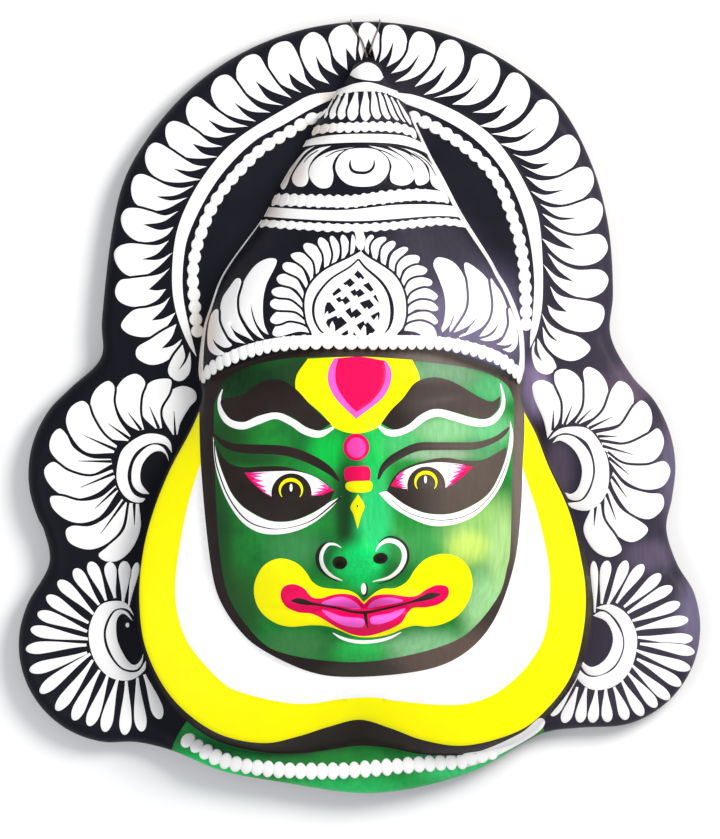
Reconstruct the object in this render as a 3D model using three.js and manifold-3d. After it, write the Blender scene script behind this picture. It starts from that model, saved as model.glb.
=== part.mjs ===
// Chhau dance mask of moulded paper and cloth, lying on its back rim with the face up.
// Millimetres. +X is the viewer's right, +Y the crown's tip, +Z out of the face; z = 0 is the rim.
import * as THREE from "three";
import { mergeVertices } from "three/addons/utils/BufferGeometryUtils.js";
import Module from "manifold-3d";

const wasm = await Module();
wasm.setup();

const wall = 5; // thickness of the moulded paper
const rimWidth = 7; // flat back rim that the mask lies on
const boardRise = 22; // front of the backboard, above the rim
const boardDome = 3; // how much more it rises towards the figure
const boardDomeReach = 60;
const boardRound = 9; // radius of the backboard's front edge
const neckRoll = 6; // extra rise of the neck below the collar

const browTop = 39.6; // crown's lower edge on the centre line
const browDrop = 24.1; // how far that edge falls at the temples
const browHalf = 96.3;
const browSoft = 1.7; // half the width over which the crown steps down to the forehead

// The face is a superellipse in plan and a dome in section.
const face = { x: 0.7, y: -36, half: 96, up: 126, down: 125.5, plan: 2.65, dome: 36, fall: 2.4, shoulder: 0.8 };
const baseLow = 46; // level of the face's border at the temples
const baseHigh = 62; // and around the cheeks and chin
const collarDropLow = 5; // fall from the border to the collar's outer edge, temples
const collarDropHigh = 14; // and the same around the chin
const lipRound = 2.5; // softening of the collar's outer edge

const holeAt = [5.5, 211.5]; // hanging hole above the crown's tip
const holeRadius = 2.2;
const wireRadius = 0.5;
const nickWidth = 2.4; // grooves in the rim that the wire lies in
const nickDepth = 2.6;

// Crown, one row a height: y, left edge, right edge, rise above the board, squareness of the section.
const crown = [
  [207, -3, 11, 6, 2],
  [200, -6.5, 14.3, 15, 2],
  [184.5, -16.8, 25, 22, 2],
  [169.5, -26.4, 32.4, 27, 2],
  [157, -33, 37, 31, 2],
  [133.5, -46.8, 49.8, 38, 2.1],
  [107, -61.2, 66, 45, 2.4],
  [82.5, -79.2, 81.3, 50, 3],
  [56.7, -90.3, 94.2, 53.5, 4],
  [32.7, -96, 99, 55.5, 5],
  [12.3, -95.2, 97, 55.5, 5],
];
const crownPower = 0.5;
const knob = { x: 4, y: 199, radius: 9.5, foot: 9, rise: 12 }; // button on the crown's tip

// Collar from the left temple down round the chin to the right one: edge x, y, then foot x, y.
const collar = [
  [-94, 5, -95, 5.5],
  [-99.5, -10.5, -101, -10],
  [-114.5, -39.5, -116, -38.5],
  [-125, -67, -126, -66.5],
  [-130.5, -91.5, -131.5, -91.5],
  [-132, -118, -133.5, -118],
  [-128, -145.5, -129.5, -146],
  [-112, -175, -114.5, -177.5],
  [-85.5, -195.5, -89.5, -199],
  [-57, -201.5, -57.5, -207.5],
  [-37, -197.5, -36, -208],
  [-18, -191.5, -19, -206],
  [0, -187.5, 0, -203.5],
  [18, -192.5, 18, -205],
  [37, -199.5, 36, -208.5],
  [62.5, -203, 63.5, -209],
  [96.5, -193.5, 99.5, -198.5],
  [112, -181, 115, -184],
  [126.5, -161, 130, -163],
  [134, -132.5, 138, -133.5],
  [135, -110, 139, -110],
  [132.5, -92, 135.5, -91.5],
  [125, -62.5, 126.5, -62],
  [112.5, -35, 113.5, -34.5],
  [105.5, -17, 107, -16.5],
  [96, 3.5, 97, 4],
];

// Soft forms on the face: x, y, half-lengths along and across, turn in degrees, height.
const forms = [
  [-48, 3, 32, 9, -6, 4], // brow ridges
  [50, 5, 32, 9, 6, 4],
  [-42, -44, 32, 17, 0, -5], // eye sockets
  [40, -40, 32, 17, 0, -5],
  [-41, -49.5, 21, 11, 0, 6.5], // eyeballs
  [39, -45, 21, 11, 0, 6.5],
  [-52, -92, 24, 20, 0, 4], // cheeks
  [54, -88, 24, 20, 0, 4],
  [0, -32, 8, 20, 0, 5], // bridge of the nose
  [1, -60, 10, 20, 0, 10],
  [2, -86, 13, 14, 0, 18], // ball of the nose
  [-15, -92, 9, 9, 0, 9], // nostrils
  [17, -90, 9, 9, 0, 9],
  [-12, -94, 3.6, 3.6, 0, -8],
  [11.7, -91.5, 3.6, 3.6, 0, -8],
  [-16, -115, 19, 4.6, 8, 6], // upper lip
  [19, -114, 19, 4.6, -6, 6],
  [3, -128, 24, 5.5, 0, 7], // lower lip
  [2, -121, 36, 1.8, 0, -3],
  [2, -146, 18, 7, 0, 5], // chin
];

const spineTop = 196; // the surface's rows are strung on a line down the middle
const spineBottom = -148;
const collarEnd = [119, -165]; // where the rows end and the fan round the chin begins

const smooth = (a, b, v) => {
  const t = Math.min(Math.max((v - a) / (b - a), 0), 1);
  return t * t * (3 - 2 * t);
};

// Value of one column of a table whose first column falls, by a cubic through its rows.
function tableAt(table, key, column) {
  const last = table.length - 1;
  let i = 0;
  while (i < last - 1 && table[i + 1][0] > key) i++;
  const row = (k) => table[Math.min(Math.max(k, 0), last)];
  const [p0, p1, p2, p3] = [row(i - 1), row(i), row(i + 1), row(i + 2)];
  const t = Math.min(Math.max((p1[0] - key) / (p1[0] - p2[0]), 0), 1);
  const slope = (a, b) => (b === a ? 0 : ((b[column] - a[column]) / (a[0] - b[0])) * (p1[0] - p2[0]));
  const m1 = slope(p0, p2);
  const m2 = slope(p1, p3);
  const a = 2 * t ** 3 - 3 * t ** 2 + 1;
  const b = t ** 3 - 2 * t ** 2 + t;
  const c = -2 * t ** 3 + 3 * t ** 2;
  const d = t ** 3 - t ** 2;
  return a * p1[column] + b * m1 + c * p2[column] + d * m2;
}

function spline(points, closed, count) {
  const curve = new THREE.CatmullRomCurve3(
    points.map(([x, y]) => new THREE.Vector3(x, y, 0)),
    closed,
    "centripetal",
  );
  const line = curve.getSpacedPoints(count).map((p) => [p.x, p.y]);
  if (closed) line.pop();
  return line;
}

function arc(x, y, radius, from, to, steps) {
  const points = [];
  for (let i = 0; i <= steps; i++) {
    const angle = THREE.MathUtils.degToRad(from + ((to - from) * i) / steps);
    points.push([x + radius * Math.cos(angle), y + radius * Math.sin(angle)]);
  }
  return points;
}

// Backboard, anticlockwise: two lobes on the right, the halo, two lobes on the left, the neck.
const boardLoop = spline(
  [
    ...arc(144.2, -132.8, 60.2, -75, 40, 6),
    [184, -73],
    ...arc(116.1, -37.7, 73.4, -14, 50, 4),
    [150.5, 43],
    [152, 68],
    [149, 109.5],
    [139, 146],
    ...arc(4, 72.6, 158.6, 43, 158, 9),
    [-155, 52],
    [-155.5, 29.5],
    ...arc(-134.3, -40.3, 64.9, 128, 204, 5),
    [-190, -74],
    [-186.5, -93.5],
    ...arc(-146, -143, 59, 156, 262, 6),
    [-134.5, -201.5],
    [-113, -206.5],
    [-83.5, -218.5],
    [-50, -225],
    [9, -232],
    [66.5, -219.5],
    [110.5, -196],
    [131, -193],
  ],
  true,
  360,
);

// Whole figure seen from the front, from the crown's tip down the left side and round to the tip.
function figureLine(edgeColumn, spread) {
  const left = [];
  const right = [];
  for (let y = 199; y > 14; y -= 8) {
    left.push([tableAt(crown, y, 1) - spread, y]);
    right.unshift([tableAt(crown, y, 2) + spread, y]);
  }
  const around = collar.map((row) => [row[edgeColumn], row[edgeColumn + 1]]);
  const tip = [
    [14.5 + spread, 200],
    [12, 204.5 + spread],
    [4, 207 + spread],
    [-4.5, 204 + spread],
  ];
  return spline([...tip.slice(2), ...left, ...around, ...right, ...tip.slice(0, 2)], true, 420);
}
const edgeLoop = figureLine(0, 0);
const footLoop = figureLine(2, 0.6);

// Distance to a closed line, positive inside it.
function insideDistance(loop, x, y) {
  let best = Infinity;
  let inside = false;
  for (let i = 0, j = loop.length - 1; i < loop.length; j = i++) {
    const [ax, ay] = loop[j];
    const [bx, by] = loop[i];
    const ex = bx - ax;
    const ey = by - ay;
    const t = Math.min(Math.max(((x - ax) * ex + (y - ay) * ey) / (ex * ex + ey * ey), 0), 1);
    const dx = x - ax - ex * t;
    const dy = y - ay - ey * t;
    best = Math.min(best, dx * dx + dy * dy);
    if (ay > y !== by > y && x < ax + (ex * (y - ay)) / ey) inside = !inside;
  }
  return Math.sqrt(best) * (inside ? 1 : -1);
}

function boardHeight(x, y) {
  const inset = Math.max(insideDistance(boardLoop, x, y), 0);
  const roll = neckRoll * smooth(-196, -212, y) * smooth(128, 104, Math.abs(x));
  const lip = Math.max(boardRound - inset, 0);
  const round = boardRound - Math.sqrt(boardRound ** 2 - lip ** 2);
  return boardRise + boardDome * smooth(0, boardDomeReach, inset) + roll - round;
}

function crownHeight(x, y, board) {
  const left = tableAt(crown, y, 1);
  const right = tableAt(crown, y, 2);
  const u = Math.min(Math.abs((2 * x - left - right) / (right - left)), 1);
  const rise = tableAt(crown, y, 3) * (1 - u ** tableAt(crown, y, 4)) ** crownPower;
  const off = Math.hypot(x - knob.x, y - knob.y) / knob.radius;
  return board + (off < 1 ? Math.max(rise, knob.foot + knob.rise * Math.sqrt(1 - off * off)) : rise);
}

function faceHeight(x, y, edgeInset) {
  const ux = Math.abs(x - face.x) / face.half;
  const uy = Math.abs(y - face.y) / (y > face.y ? face.up : face.down);
  const radius = (ux ** face.plan + uy ** face.plan) ** (1 / face.plan);
  const deep = smooth(20, -60, y);
  const base = baseLow + (baseHigh - baseLow) * deep;
  if (radius < 1) {
    let z = base + face.dome * (1 - radius ** face.fall) ** face.shoulder;
    for (const [fx, fy, along, across, turn, height] of forms) {
      const c = Math.cos(THREE.MathUtils.degToRad(turn));
      const s = Math.sin(THREE.MathUtils.degToRad(turn));
      const p = ((x - fx) * c + (y - fy) * s) / along;
      const q = ((y - fy) * c - (x - fx) * s) / across;
      z += height * Math.exp(-(p * p) - q * q) * smooth(1, 0.9, radius);
    }
    return z;
  }
  const outside = (radius - 1) * face.half;
  const share = outside / (outside + edgeInset + 0.01);
  const soft = Math.max(1 - edgeInset / lipRound, 0);
  return base - (collarDropLow + (collarDropHigh - collarDropLow) * deep) * share ** 1.2 - soft * soft;
}

// Front surface of the mask.
function frontHeight(x, y) {
  const board = boardHeight(x, y);
  const foot = insideDistance(footLoop, x, y);
  if (foot <= 0) return board;
  const edge = insideDistance(edgeLoop, x, y);
  const brow = browTop - browDrop * (x / browHalf) ** 2;
  const above = smooth(brow - browSoft, brow + browSoft, y);
  let z = board;
  if (above < 1) z = faceHeight(x, y, Math.max(edge, 0));
  if (above > 0) z += (crownHeight(x, y, board) - z) * above;
  const climb = edge < 0 ? (foot / (foot - edge)) ** 0.7 : 1;
  return board + (Math.max(z, board) - board) * climb;
}

// Back of the wall: the front surface moved in by the wall's thickness, as a rolling ball would.
function backHeight(x, y) {
  let low = frontHeight(x, y) - wall;
  for (const reach of [0.6, 1]) {
    const drop = wall * Math.sqrt(1 - reach * reach * 0.999);
    for (let i = 0; i < 10; i++) {
      const angle = (i * Math.PI) / 5 + reach;
      const z = frontHeight(x + wall * reach * Math.cos(angle), y + wall * reach * Math.sin(angle));
      low = Math.min(low, z - drop);
    }
  }
  return low;
}

// Position along a line by its share of the length.
function along(line, share) {
  const steps = line.slice(1).map(([x, y], i) => Math.hypot(x - line[i][0], y - line[i][1]));
  let rest = share * steps.reduce((sum, step) => sum + step, 0);
  let i = 0;
  while (i < steps.length - 1 && rest > steps[i]) rest -= steps[i++];
  const t = Math.min(rest / steps[i], 1);
  return [line[i][0] + (line[i + 1][0] - line[i][0]) * t, line[i][1] + (line[i + 1][1] - line[i][1]) * t];
}

function nearest(loop, [x, y]) {
  const gaps = loop.map(([px, py]) => Math.hypot(px - x, py - y));
  return gaps.indexOf(Math.min(...gaps));
}

// Stretch of a closed line between two of its points, going anticlockwise.
function stretch(loop, from, to) {
  const start = nearest(loop, from);
  const end = nearest(loop, to);
  const count = (end - start + loop.length) % loop.length;
  return Array.from({ length: count + 1 }, (_, i) => loop[(start + i) % loop.length]);
}

// Matching marks on the figure and on the backboard, anticlockwise from the tip, and the steps between.
const marks = [
  { figure: [4, 207], board: [0, 232], steps: 3 },
  { figure: [-5, 198], board: [-40, 225], steps: 22 },
  { figure: [-95, 14], board: [-155.5, 29.5], steps: 15 },
  { figure: [-131, -92], board: [-186.5, -93.5], steps: 12 },
  { figure: [-collarEnd[0], collarEnd[1]], board: [-168, -198], steps: 4 },
  { figure: [-92, -192], board: [-113, -206.5], steps: 10 },
  { figure: [0, -187.5], board: [4, -232], steps: 10 },
  { figure: [98, -193], board: [110.5, -196], steps: 4 },
  { figure: [collarEnd[0] + 5, collarEnd[1]], board: [162, -190], steps: 12 },
  { figure: [132.5, -92], board: [185, -80], steps: 15 },
  { figure: [97, 14], board: [150.5, 43], steps: 22 },
  { figure: [13.8, 198], board: [40, 227], steps: 3 },
];
const spineSteps = [3, 22, 15, 12];

// One ray a step: spine point, collar edge, collar foot, backboard edge.
const rays = [];
marks.forEach((mark, k) => {
  const next = marks[(k + 1) % marks.length];
  const edge = stretch(edgeLoop, mark.figure, next.figure);
  const board = stretch(boardLoop, mark.board, next.board);
  for (let i = 0; i < mark.steps; i++) {
    const from = along(edge, i / mark.steps);
    rays.push({ edge: from, board: along(board, i / mark.steps) });
  }
});

// Heights of the rows on the spine, equal on both sides: tip, crown, brow, face, chin.
const spine = [];
for (let i = 0; i <= spineSteps[0]; i++) spine.push(spineTop);
for (let i = 1; i <= spineSteps[1]; i++) {
  const brow = i / spineSteps[1];
  spine.push(spineTop + (browTop - spineTop) * brow);
}
for (let i = 1; i <= spineSteps[2] + spineSteps[3]; i++) {
  spine.push(browTop + ((spineBottom - browTop) * i) / (spineSteps[2] + spineSteps[3]));
}
const half = rays.length / 2;
rays.forEach((ray, i) => {
  const step = i <= half ? i : rays.length - i;
  ray.spine = [0.7, step < spine.length ? spine[step] : spineBottom];
  ray.turn = step < spine.length ? 2 : 1;
});

// Point at a share of the way from the spine to the collar's edge, on a row that bends like the brow.
function inFigure(ray, share) {
  const [sx, sy] = ray.spine;
  const [ex, ey] = ray.edge;
  return [sx + (ex - sx) * share, sy + (ey - sy) * share ** ray.turn];
}

function rayLength(ray) {
  return Math.hypot(ray.edge[0] - ray.spine[0], ray.edge[1] - ray.spine[1]);
}

function inset(line, distance) {
  return line.map(([x, y], i) => {
    const [ax, ay] = line[(i + line.length - 1) % line.length];
    const [bx, by] = line[(i + 1) % line.length];
    const length = Math.hypot(bx - ax, by - ay);
    return [x - ((by - ay) / length) * distance, y + ((bx - ax) / length) * distance];
  });
}

const boardEdge = rays.map((ray) => ray.board);
const footEdge = rays.map((ray) => {
  const i = nearest(footLoop, ray.edge);
  return footLoop[i];
});
const mix = (a, b, t) => a.map(([x, y], i) => [x + (b[i][0] - x) * t, y + (b[i][1] - y) * t]);
const lift = (ring, height) => ring.map(([x, y]) => [x, y, height(x, y)]);

const frontShares = [0, 0.05, 0.1, 0.15, 0.21, 0.28, 0.36, 0.44, 0.53, 0.62, 0.71, 0.79, 0.87];
const edgeInsets = [4.5, 1.2, 0]; // rings close to the collar's edge
const boardInsets = [boardRound, 4, 1.2, 0]; // rings on the backboard's rounded edge
const backShares = [0.84, 0.66, 0.46, 0.26, 0.1, 0];

const rings = frontShares.map((share) => lift(rays.map((ray) => inFigure(ray, share)), frontHeight));
for (const gap of edgeInsets) {
  const ring = rays.map((ray) => inFigure(ray, 1 - Math.min(gap / rayLength(ray), 0.13 * (gap / 5))));
  rings.push(lift(ring, frontHeight));
}
rings.push(lift(footEdge, boardHeight));
rings.push(lift(mix(footEdge, inset(boardEdge, boardInsets[0]), 0.5), boardHeight));
for (const gap of boardInsets) rings.push(lift(inset(boardEdge, gap), boardHeight));
rings.push(lift(inset(boardEdge, 0), () => 0));
rings.push(lift(inset(boardEdge, rimWidth), () => 0));
rings.push(lift(inset(boardEdge, rimWidth + 1), backHeight));
rings.push(lift(mix(inset(boardEdge, rimWidth + 1), footEdge, 0.5), backHeight));
rings.push(lift(footEdge, backHeight));
rings.push(lift(rays.map((ray) => inFigure(ray, 1 - Math.min((wall + 2.5) / rayLength(ray), 0.2))), backHeight));
for (const share of backShares) {
  rings.push(lift(rays.map((ray) => inFigure(ray, share * 0.97)), backHeight));
}

function solidFrom(rows) {
  const position = [];
  const index = [];
  const around = rows[0].length;
  for (const ring of rows) for (const point of ring) position.push(...point);
  for (let r = 0; r < rows.length - 1; r++) {
    for (let i = 0; i < around; i++) {
      const a = r * around + i;
      const b = r * around + ((i + 1) % around);
      index.push(a, a + around, b + around, a, b + around, b);
    }
  }
  const geometry = new THREE.BufferGeometry();
  geometry.setAttribute("position", new THREE.Float32BufferAttribute(position, 3));
  geometry.setIndex(index);
  return manifoldOf(geometry);
}

// Closed three.js geometry as a solid that can be cut, without the triangles that have no area.
function manifoldOf(geometry) {
  const bare = geometry.clone();
  bare.deleteAttribute("normal");
  bare.deleteAttribute("uv");
  const merged = mergeVertices(bare, 1e-4);
  const corners = [];
  for (let i = 0; i < merged.index.count; i += 3) {
    const [a, b, c] = [0, 1, 2].map((k) => merged.index.getX(i + k));
    if (a !== b && b !== c && c !== a) corners.push(a, b, c);
  }
  return new wasm.Manifold(
    new wasm.Mesh({
      numProp: 3,
      vertProperties: merged.attributes.position.array,
      triVerts: new Uint32Array(corners),
    }),
  );
}

function geometryOf(solid) {
  const mesh = solid.getMesh();
  const geometry = new THREE.BufferGeometry();
  geometry.setAttribute("position", new THREE.BufferAttribute(mesh.vertProperties, 3));
  geometry.setIndex(new THREE.BufferAttribute(mesh.triVerts, 1));
  geometry.computeVertexNormals();
  return geometry;
}

// Wire: from a turned-up end by the hole, over the top edge on the left, back inside, out through the
// hole, over the edge on the right and back inside again.
const wireClear = wireRadius + 0.45;
const nicks = [
  [-5.4, 232.5],
  [11.8, 232.5],
];
const overBoard = (x, y) => [x, y, boardHeight(x, y) + wireClear];
const outerEdge = (x) => boardLoop.reduce((top, p) => (Math.abs(p[0] - x) < 3 ? Math.max(top, p[1]) : top), 0);
function strand([x], side) {
  const top = outerEdge(x);
  const [hx, hy] = holeAt;
  return [
    overBoard(hx + (x - hx) * 0.45, hy + (top - hy) * 0.45),
    overBoard(hx + (x - hx) * 0.8, hy + (top - hy) * 0.8 - 1.5),
    [x, top - 1, boardRise - boardRound + 5.8],
    [x, top + wireClear, boardRise - boardRound + 1],
    [x, top + wireClear, 5],
    [x, top + wireClear - 0.2, 2],
    [x, top - 0.8, 1],
    [x, top - rimWidth / 2, 1.05],
    [x, top - rimWidth - 1.2, 1.1],
    [hx + side * 1.6, hy + 7, 4],
    [hx + side * 1.1, hy + 1.5, 9],
  ];
}
const [hx, hy] = holeAt;
const wirePath = new THREE.CatmullRomCurve3(
  [
    [hx - 1.2, hy - 2.2, boardHeight(hx, hy) + wireClear + 2.4],
    [hx - 1.9, hy + 0.6, boardHeight(hx, hy) + wireClear + 1.2],
    ...strand(nicks[0], -1),
    [hx - 0.85, hy, 14],
    [hx - 0.85, hy, boardHeight(hx, hy) - 1],
    [hx + 0.1, hy + 0.6, boardHeight(hx, hy) + 1.5],
    ...strand(nicks[1], 1),
    [hx + 0.95, hy, 13],
    [hx + 0.95, hy - 0.3, boardHeight(hx, hy) - 2],
  ].map(([x, y, z]) => new THREE.Vector3(x, y, z)),
  false,
  "centripetal",
);
const wireSection = new THREE.Shape().absarc(0, 0, wireRadius, 0, Math.PI * 2);
const wireGeometry = new THREE.ExtrudeGeometry(wireSection, {
  steps: 78,
  curveSegments: 3,
  extrudePath: wirePath,
});

function cutter(geometry, x, y, z, turn) {
  geometry.rotateX(turn);
  geometry.translate(x, y, z);
  return manifoldOf(geometry);
}
let shell = solidFrom(rings);
const hole = new THREE.CylinderGeometry(holeRadius, holeRadius, boardRise * 2, 12);
shell = shell.subtract(cutter(hole, holeAt[0], holeAt[1], boardRise, Math.PI / 2));
for (const [x, y] of nicks) {
  const nick = new THREE.BoxGeometry(nickWidth, rimWidth * 3, nickDepth * 2);
  shell = shell.subtract(cutter(nick, x, y, 0, 0));
}

const mask = new THREE.Mesh(
  geometryOf(shell),
  new THREE.MeshStandardMaterial({ color: 0x14c463, roughness: 0.35, metalness: 0 }),
);
mask.name = "mask_shell";

const wire = new THREE.Mesh(
  wireGeometry,
  new THREE.MeshStandardMaterial({ color: 0x4a4540, roughness: 0.45, metalness: 0.9 }),
);
wire.name = "hanging_wire";

const part = new THREE.Group();
part.add(mask, wire);
const bounds = new THREE.Box3().setFromObject(part);
part.position.set(-(bounds.min.x + bounds.max.x) / 2, -(bounds.min.y + bounds.max.y) / 2, 0);
export default part;
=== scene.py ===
import math

import bpy
import numpy as np
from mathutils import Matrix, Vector, kdtree
from mathutils.geometry import delaunay_2d_cdt


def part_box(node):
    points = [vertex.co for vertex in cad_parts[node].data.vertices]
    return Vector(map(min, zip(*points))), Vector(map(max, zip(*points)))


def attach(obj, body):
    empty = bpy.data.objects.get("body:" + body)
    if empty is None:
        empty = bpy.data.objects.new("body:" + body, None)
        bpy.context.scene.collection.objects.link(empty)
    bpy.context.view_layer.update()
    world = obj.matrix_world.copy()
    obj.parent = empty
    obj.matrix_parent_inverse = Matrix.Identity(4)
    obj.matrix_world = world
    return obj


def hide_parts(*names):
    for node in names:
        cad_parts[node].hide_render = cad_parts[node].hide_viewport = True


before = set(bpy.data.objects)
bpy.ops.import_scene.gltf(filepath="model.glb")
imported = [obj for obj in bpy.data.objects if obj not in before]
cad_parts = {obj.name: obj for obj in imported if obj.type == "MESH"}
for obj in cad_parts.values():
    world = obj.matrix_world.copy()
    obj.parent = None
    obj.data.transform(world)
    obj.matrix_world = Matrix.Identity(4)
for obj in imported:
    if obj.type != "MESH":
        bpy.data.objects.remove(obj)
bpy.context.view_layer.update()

print("frame loaded")

mm = 0.001

# Moulded body in millimetres: x from the crown's axis, y towards the tip, z up from the back rim.
mould = {
    "wall": 5.0,
    "rimWidth": 7.0,
    "boardRise": 22.0,  # front of the backboard
    "boardDome": 3.0,  # how much more it rises towards the figure
    "boardDomeReach": 60.0,
    "boardRound": 9.0,  # radius of the backboard's front edge
    "neckRoll": 6.0,  # how far the board rolls up at the neck, from y to y and from |x| to |x|
    "neckRows": (-196, -212),
    "neckSides": (128, 104),
    "browTop": 39.6,  # crown's lower edge on the centre line
    "browDrop": 24.1,
    "browHalf": 96.3,
    "browSoft": 1.7,
    "baseLow": 46.0,  # level of the face's border at the temples, then round the chin
    "baseHigh": 62.0,
    "baseRows": (20, -60),  # heights between which it rises
    "dropLow": 5.0,  # fall from that border to the collar's edge
    "dropHigh": 14.0,
    "dropCurve": 1.2,
    "lipRound": 2.5,
    "sideCurve": 0.7,  # how steeply the figure's sides leave the board
    "crownPower": 0.5,
    "hole": (5.5, 211.5),
    "holeRadius": 2.2,
    "nicks": (-5.4, 11.8),  # grooves in the rim for the wire
    "nickHalf": 1.2,
    "nickDepth": 2.6,
}
face = {"x": 0.7, "y": -36, "half": 96, "up": 126, "down": 125.5, "plan": 2.65, "dome": 36, "fall": 2.4,
        "shoulder": 0.8, "formsEnd": 0.9}
knob = {"x": 4, "y": 199, "radius": 9.5, "foot": 9, "rise": 12}

# Crown, one row a height: y, left edge, right edge, rise above the board, squareness.
crownRows = np.array([
    [207, -3, 11, 6, 2],
    [200, -6.5, 14.3, 15, 2],
    [184.5, -16.8, 25, 22, 2],
    [169.5, -26.4, 32.4, 27, 2],
    [157, -33, 37, 31, 2],
    [133.5, -46.8, 49.8, 38, 2.1],
    [107, -61.2, 66, 45, 2.4],
    [82.5, -79.2, 81.3, 50, 3],
    [56.7, -90.3, 94.2, 53.5, 4],
    [32.7, -96, 99, 55.5, 5],
    [12.3, -95.2, 97, 55.5, 5],
])

# Collar from the left temple round the chin to the right one: edge x, y, then foot x, y.
collarRows = np.array([
    [-94, 5, -95, 5.5],
    [-99.5, -10.5, -101, -10],
    [-114.5, -39.5, -116, -38.5],
    [-125, -67, -126, -66.5],
    [-130.5, -91.5, -131.5, -91.5],
    [-132, -118, -133.5, -118],
    [-128, -145.5, -129.5, -146],
    [-112, -175, -114.5, -177.5],
    [-85.5, -195.5, -89.5, -199],
    [-57, -201.5, -57.5, -207.5],
    [-37, -197.5, -36, -208],
    [-18, -191.5, -19, -206],
    [0, -187.5, 0, -203.5],
    [18, -192.5, 18, -205],
    [37, -199.5, 36, -208.5],
    [62.5, -203, 63.5, -209],
    [96.5, -193.5, 99.5, -198.5],
    [112, -181, 115, -184],
    [126.5, -161, 130, -163],
    [134, -132.5, 138, -133.5],
    [135, -110, 139, -110],
    [132.5, -92, 135.5, -91.5],
    [125, -62.5, 126.5, -62],
    [112.5, -35, 113.5, -34.5],
    [105.5, -17, 107, -16.5],
    [96, 3.5, 97, 4],
])

# Soft forms on the face: x, y, half-lengths along and across, turn in degrees, height.
faceForms = [
    (-48, 3, 32, 9, -6, 4),  # brow ridges
    (50, 5, 32, 9, 6, 4),
    (-42, -44, 32, 17, 0, -5),  # eye sockets
    (40, -40, 32, 17, 0, -5),
    (-41, -49.5, 21, 11, 0, 6.5),  # eyeballs
    (39, -45, 21, 11, 0, 6.5),
    (-52, -92, 24, 20, 0, 4),  # cheeks
    (54, -88, 24, 20, 0, 4),
    (0, -32, 8, 20, 0, 5),  # bridge of the nose
    (1, -60, 10, 20, 0, 10),
    (2, -86, 13, 14, 0, 18),  # ball of the nose
    (-15, -92, 9, 9, 0, 9),  # wings
    (17, -90, 9, 9, 0, 9),
    (-12, -94, 3.6, 3.6, 0, -8),  # nostrils
    (11.7, -91.5, 3.6, 3.6, 0, -8),
    (-16, -115, 19, 4.6, 8, 6),  # upper lip
    (19, -114, 19, 4.6, -6, 6),
    (3, -128, 24, 5.5, 0, 7),  # lower lip
    (2, -121, 36, 1.8, 0, -3),
    (2, -146, 18, 7, 0, 5),  # chin
]


def ramp(start, end, value):
    t = np.clip((value - start) / (end - start), 0, 1)
    return t * t * (3 - 2 * t)


# Column of a table whose first column falls, by a cubic through its rows.
def tableAt(table, key, column):
    keys = table[:, 0]
    last = len(table) - 1
    i = (keys[1:last, None] > key[None, :]).sum(0)
    i0, i2, i3 = np.maximum(i - 1, 0), i + 1, np.minimum(i + 2, last)
    values = table[:, column]
    span = keys[i] - keys[i2]
    t = np.clip((keys[i] - key) / span, 0, 1)
    m1 = (values[i2] - values[i0]) / (keys[i0] - keys[i2]) * span
    m2 = (values[i3] - values[i]) / (keys[i] - keys[i3]) * span
    return (
        (2 * t**3 - 3 * t**2 + 1) * values[i]
        + (t**3 - 2 * t**2 + t) * m1
        + (3 * t**2 - 2 * t**3) * values[i2]
        + (t**3 - t**2) * m2
    )


# Smooth line through points, then cut into even steps. Length is measured over the first columns; others,
# such as a width, go along. Cuts are the straight pieces from one point to the next before that.
def smoothLine(points, closed, step, measured=2, cuts=16):
    p = np.asarray(points, float)
    if closed:
        p = np.vstack([p[-1:], p, p[:2]])
    else:
        p = np.vstack([2 * p[:1] - p[1:2], p, 2 * p[-1:] - p[-2:-1]])
    t = np.linspace(0, 1, cuts + 1)[:-1, None]
    pieces = []
    for p0, p1, p2, p3 in zip(p, p[1:], p[2:], p[3:]):
        gaps = (math.hypot(*(b - a)[:measured]) for a, b in ((p0, p1), (p1, p2), (p2, p3)))
        d0, d1, d2 = (max(gap, 1e-6) ** 0.5 for gap in gaps)
        m1 = ((p1 - p0) / d0 - (p2 - p0) / (d0 + d1) + (p2 - p1) / d1) * d1
        m2 = ((p2 - p1) / d1 - (p3 - p1) / (d1 + d2) + (p3 - p2) / d2) * d1
        a = 2 * p1 - 2 * p2 + m1 + m2
        b = 3 * p2 - 3 * p1 - 2 * m1 - m2
        pieces.append(((a * t + b) * t + m1) * t + p1)
    line = np.vstack([*pieces, p[-2:-1]])
    steps = np.hypot.reduce(np.diff(line[:, :measured], axis=0), axis=1)
    length = np.concatenate([[0], np.cumsum(steps)])
    count = max(round(length[-1] / step), 4 if closed else 1)
    at = np.linspace(0, length[-1], count + 1)
    even = np.column_stack([np.interp(at, length, column) for column in line.T])
    return even[:-1] if closed else even


def arc(x, y, radius, start, end, steps):
    angles = np.radians(np.linspace(start, end, steps + 1))
    return [(x + radius * math.cos(a), y + radius * math.sin(a)) for a in angles]


# Backboard, anticlockwise: two lobes on the right, the halo, two lobes on the left, the neck.
boardPoints = [
    *arc(144.2, -132.8, 60.2, -75, 40, 6),
    (184, -73),
    *arc(116.1, -37.7, 73.4, -14, 50, 4),
    (150.5, 43),
    (152, 68),
    (149, 109.5),
    (139, 146),
    *arc(4, 72.6, 158.6, 43, 158, 9),
    (-155, 52),
    (-155.5, 29.5),
    *arc(-134.3, -40.3, 64.9, 128, 204, 5),
    (-190, -74),
    (-186.5, -93.5),
    *arc(-146, -143, 59, 156, 262, 6),
    (-134.5, -201.5),
    (-113, -206.5),
    (-83.5, -218.5),
    (-50, -225),
    (9, -232),
    (66.5, -219.5),
    (110.5, -196),
    (131, -193),
]


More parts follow.
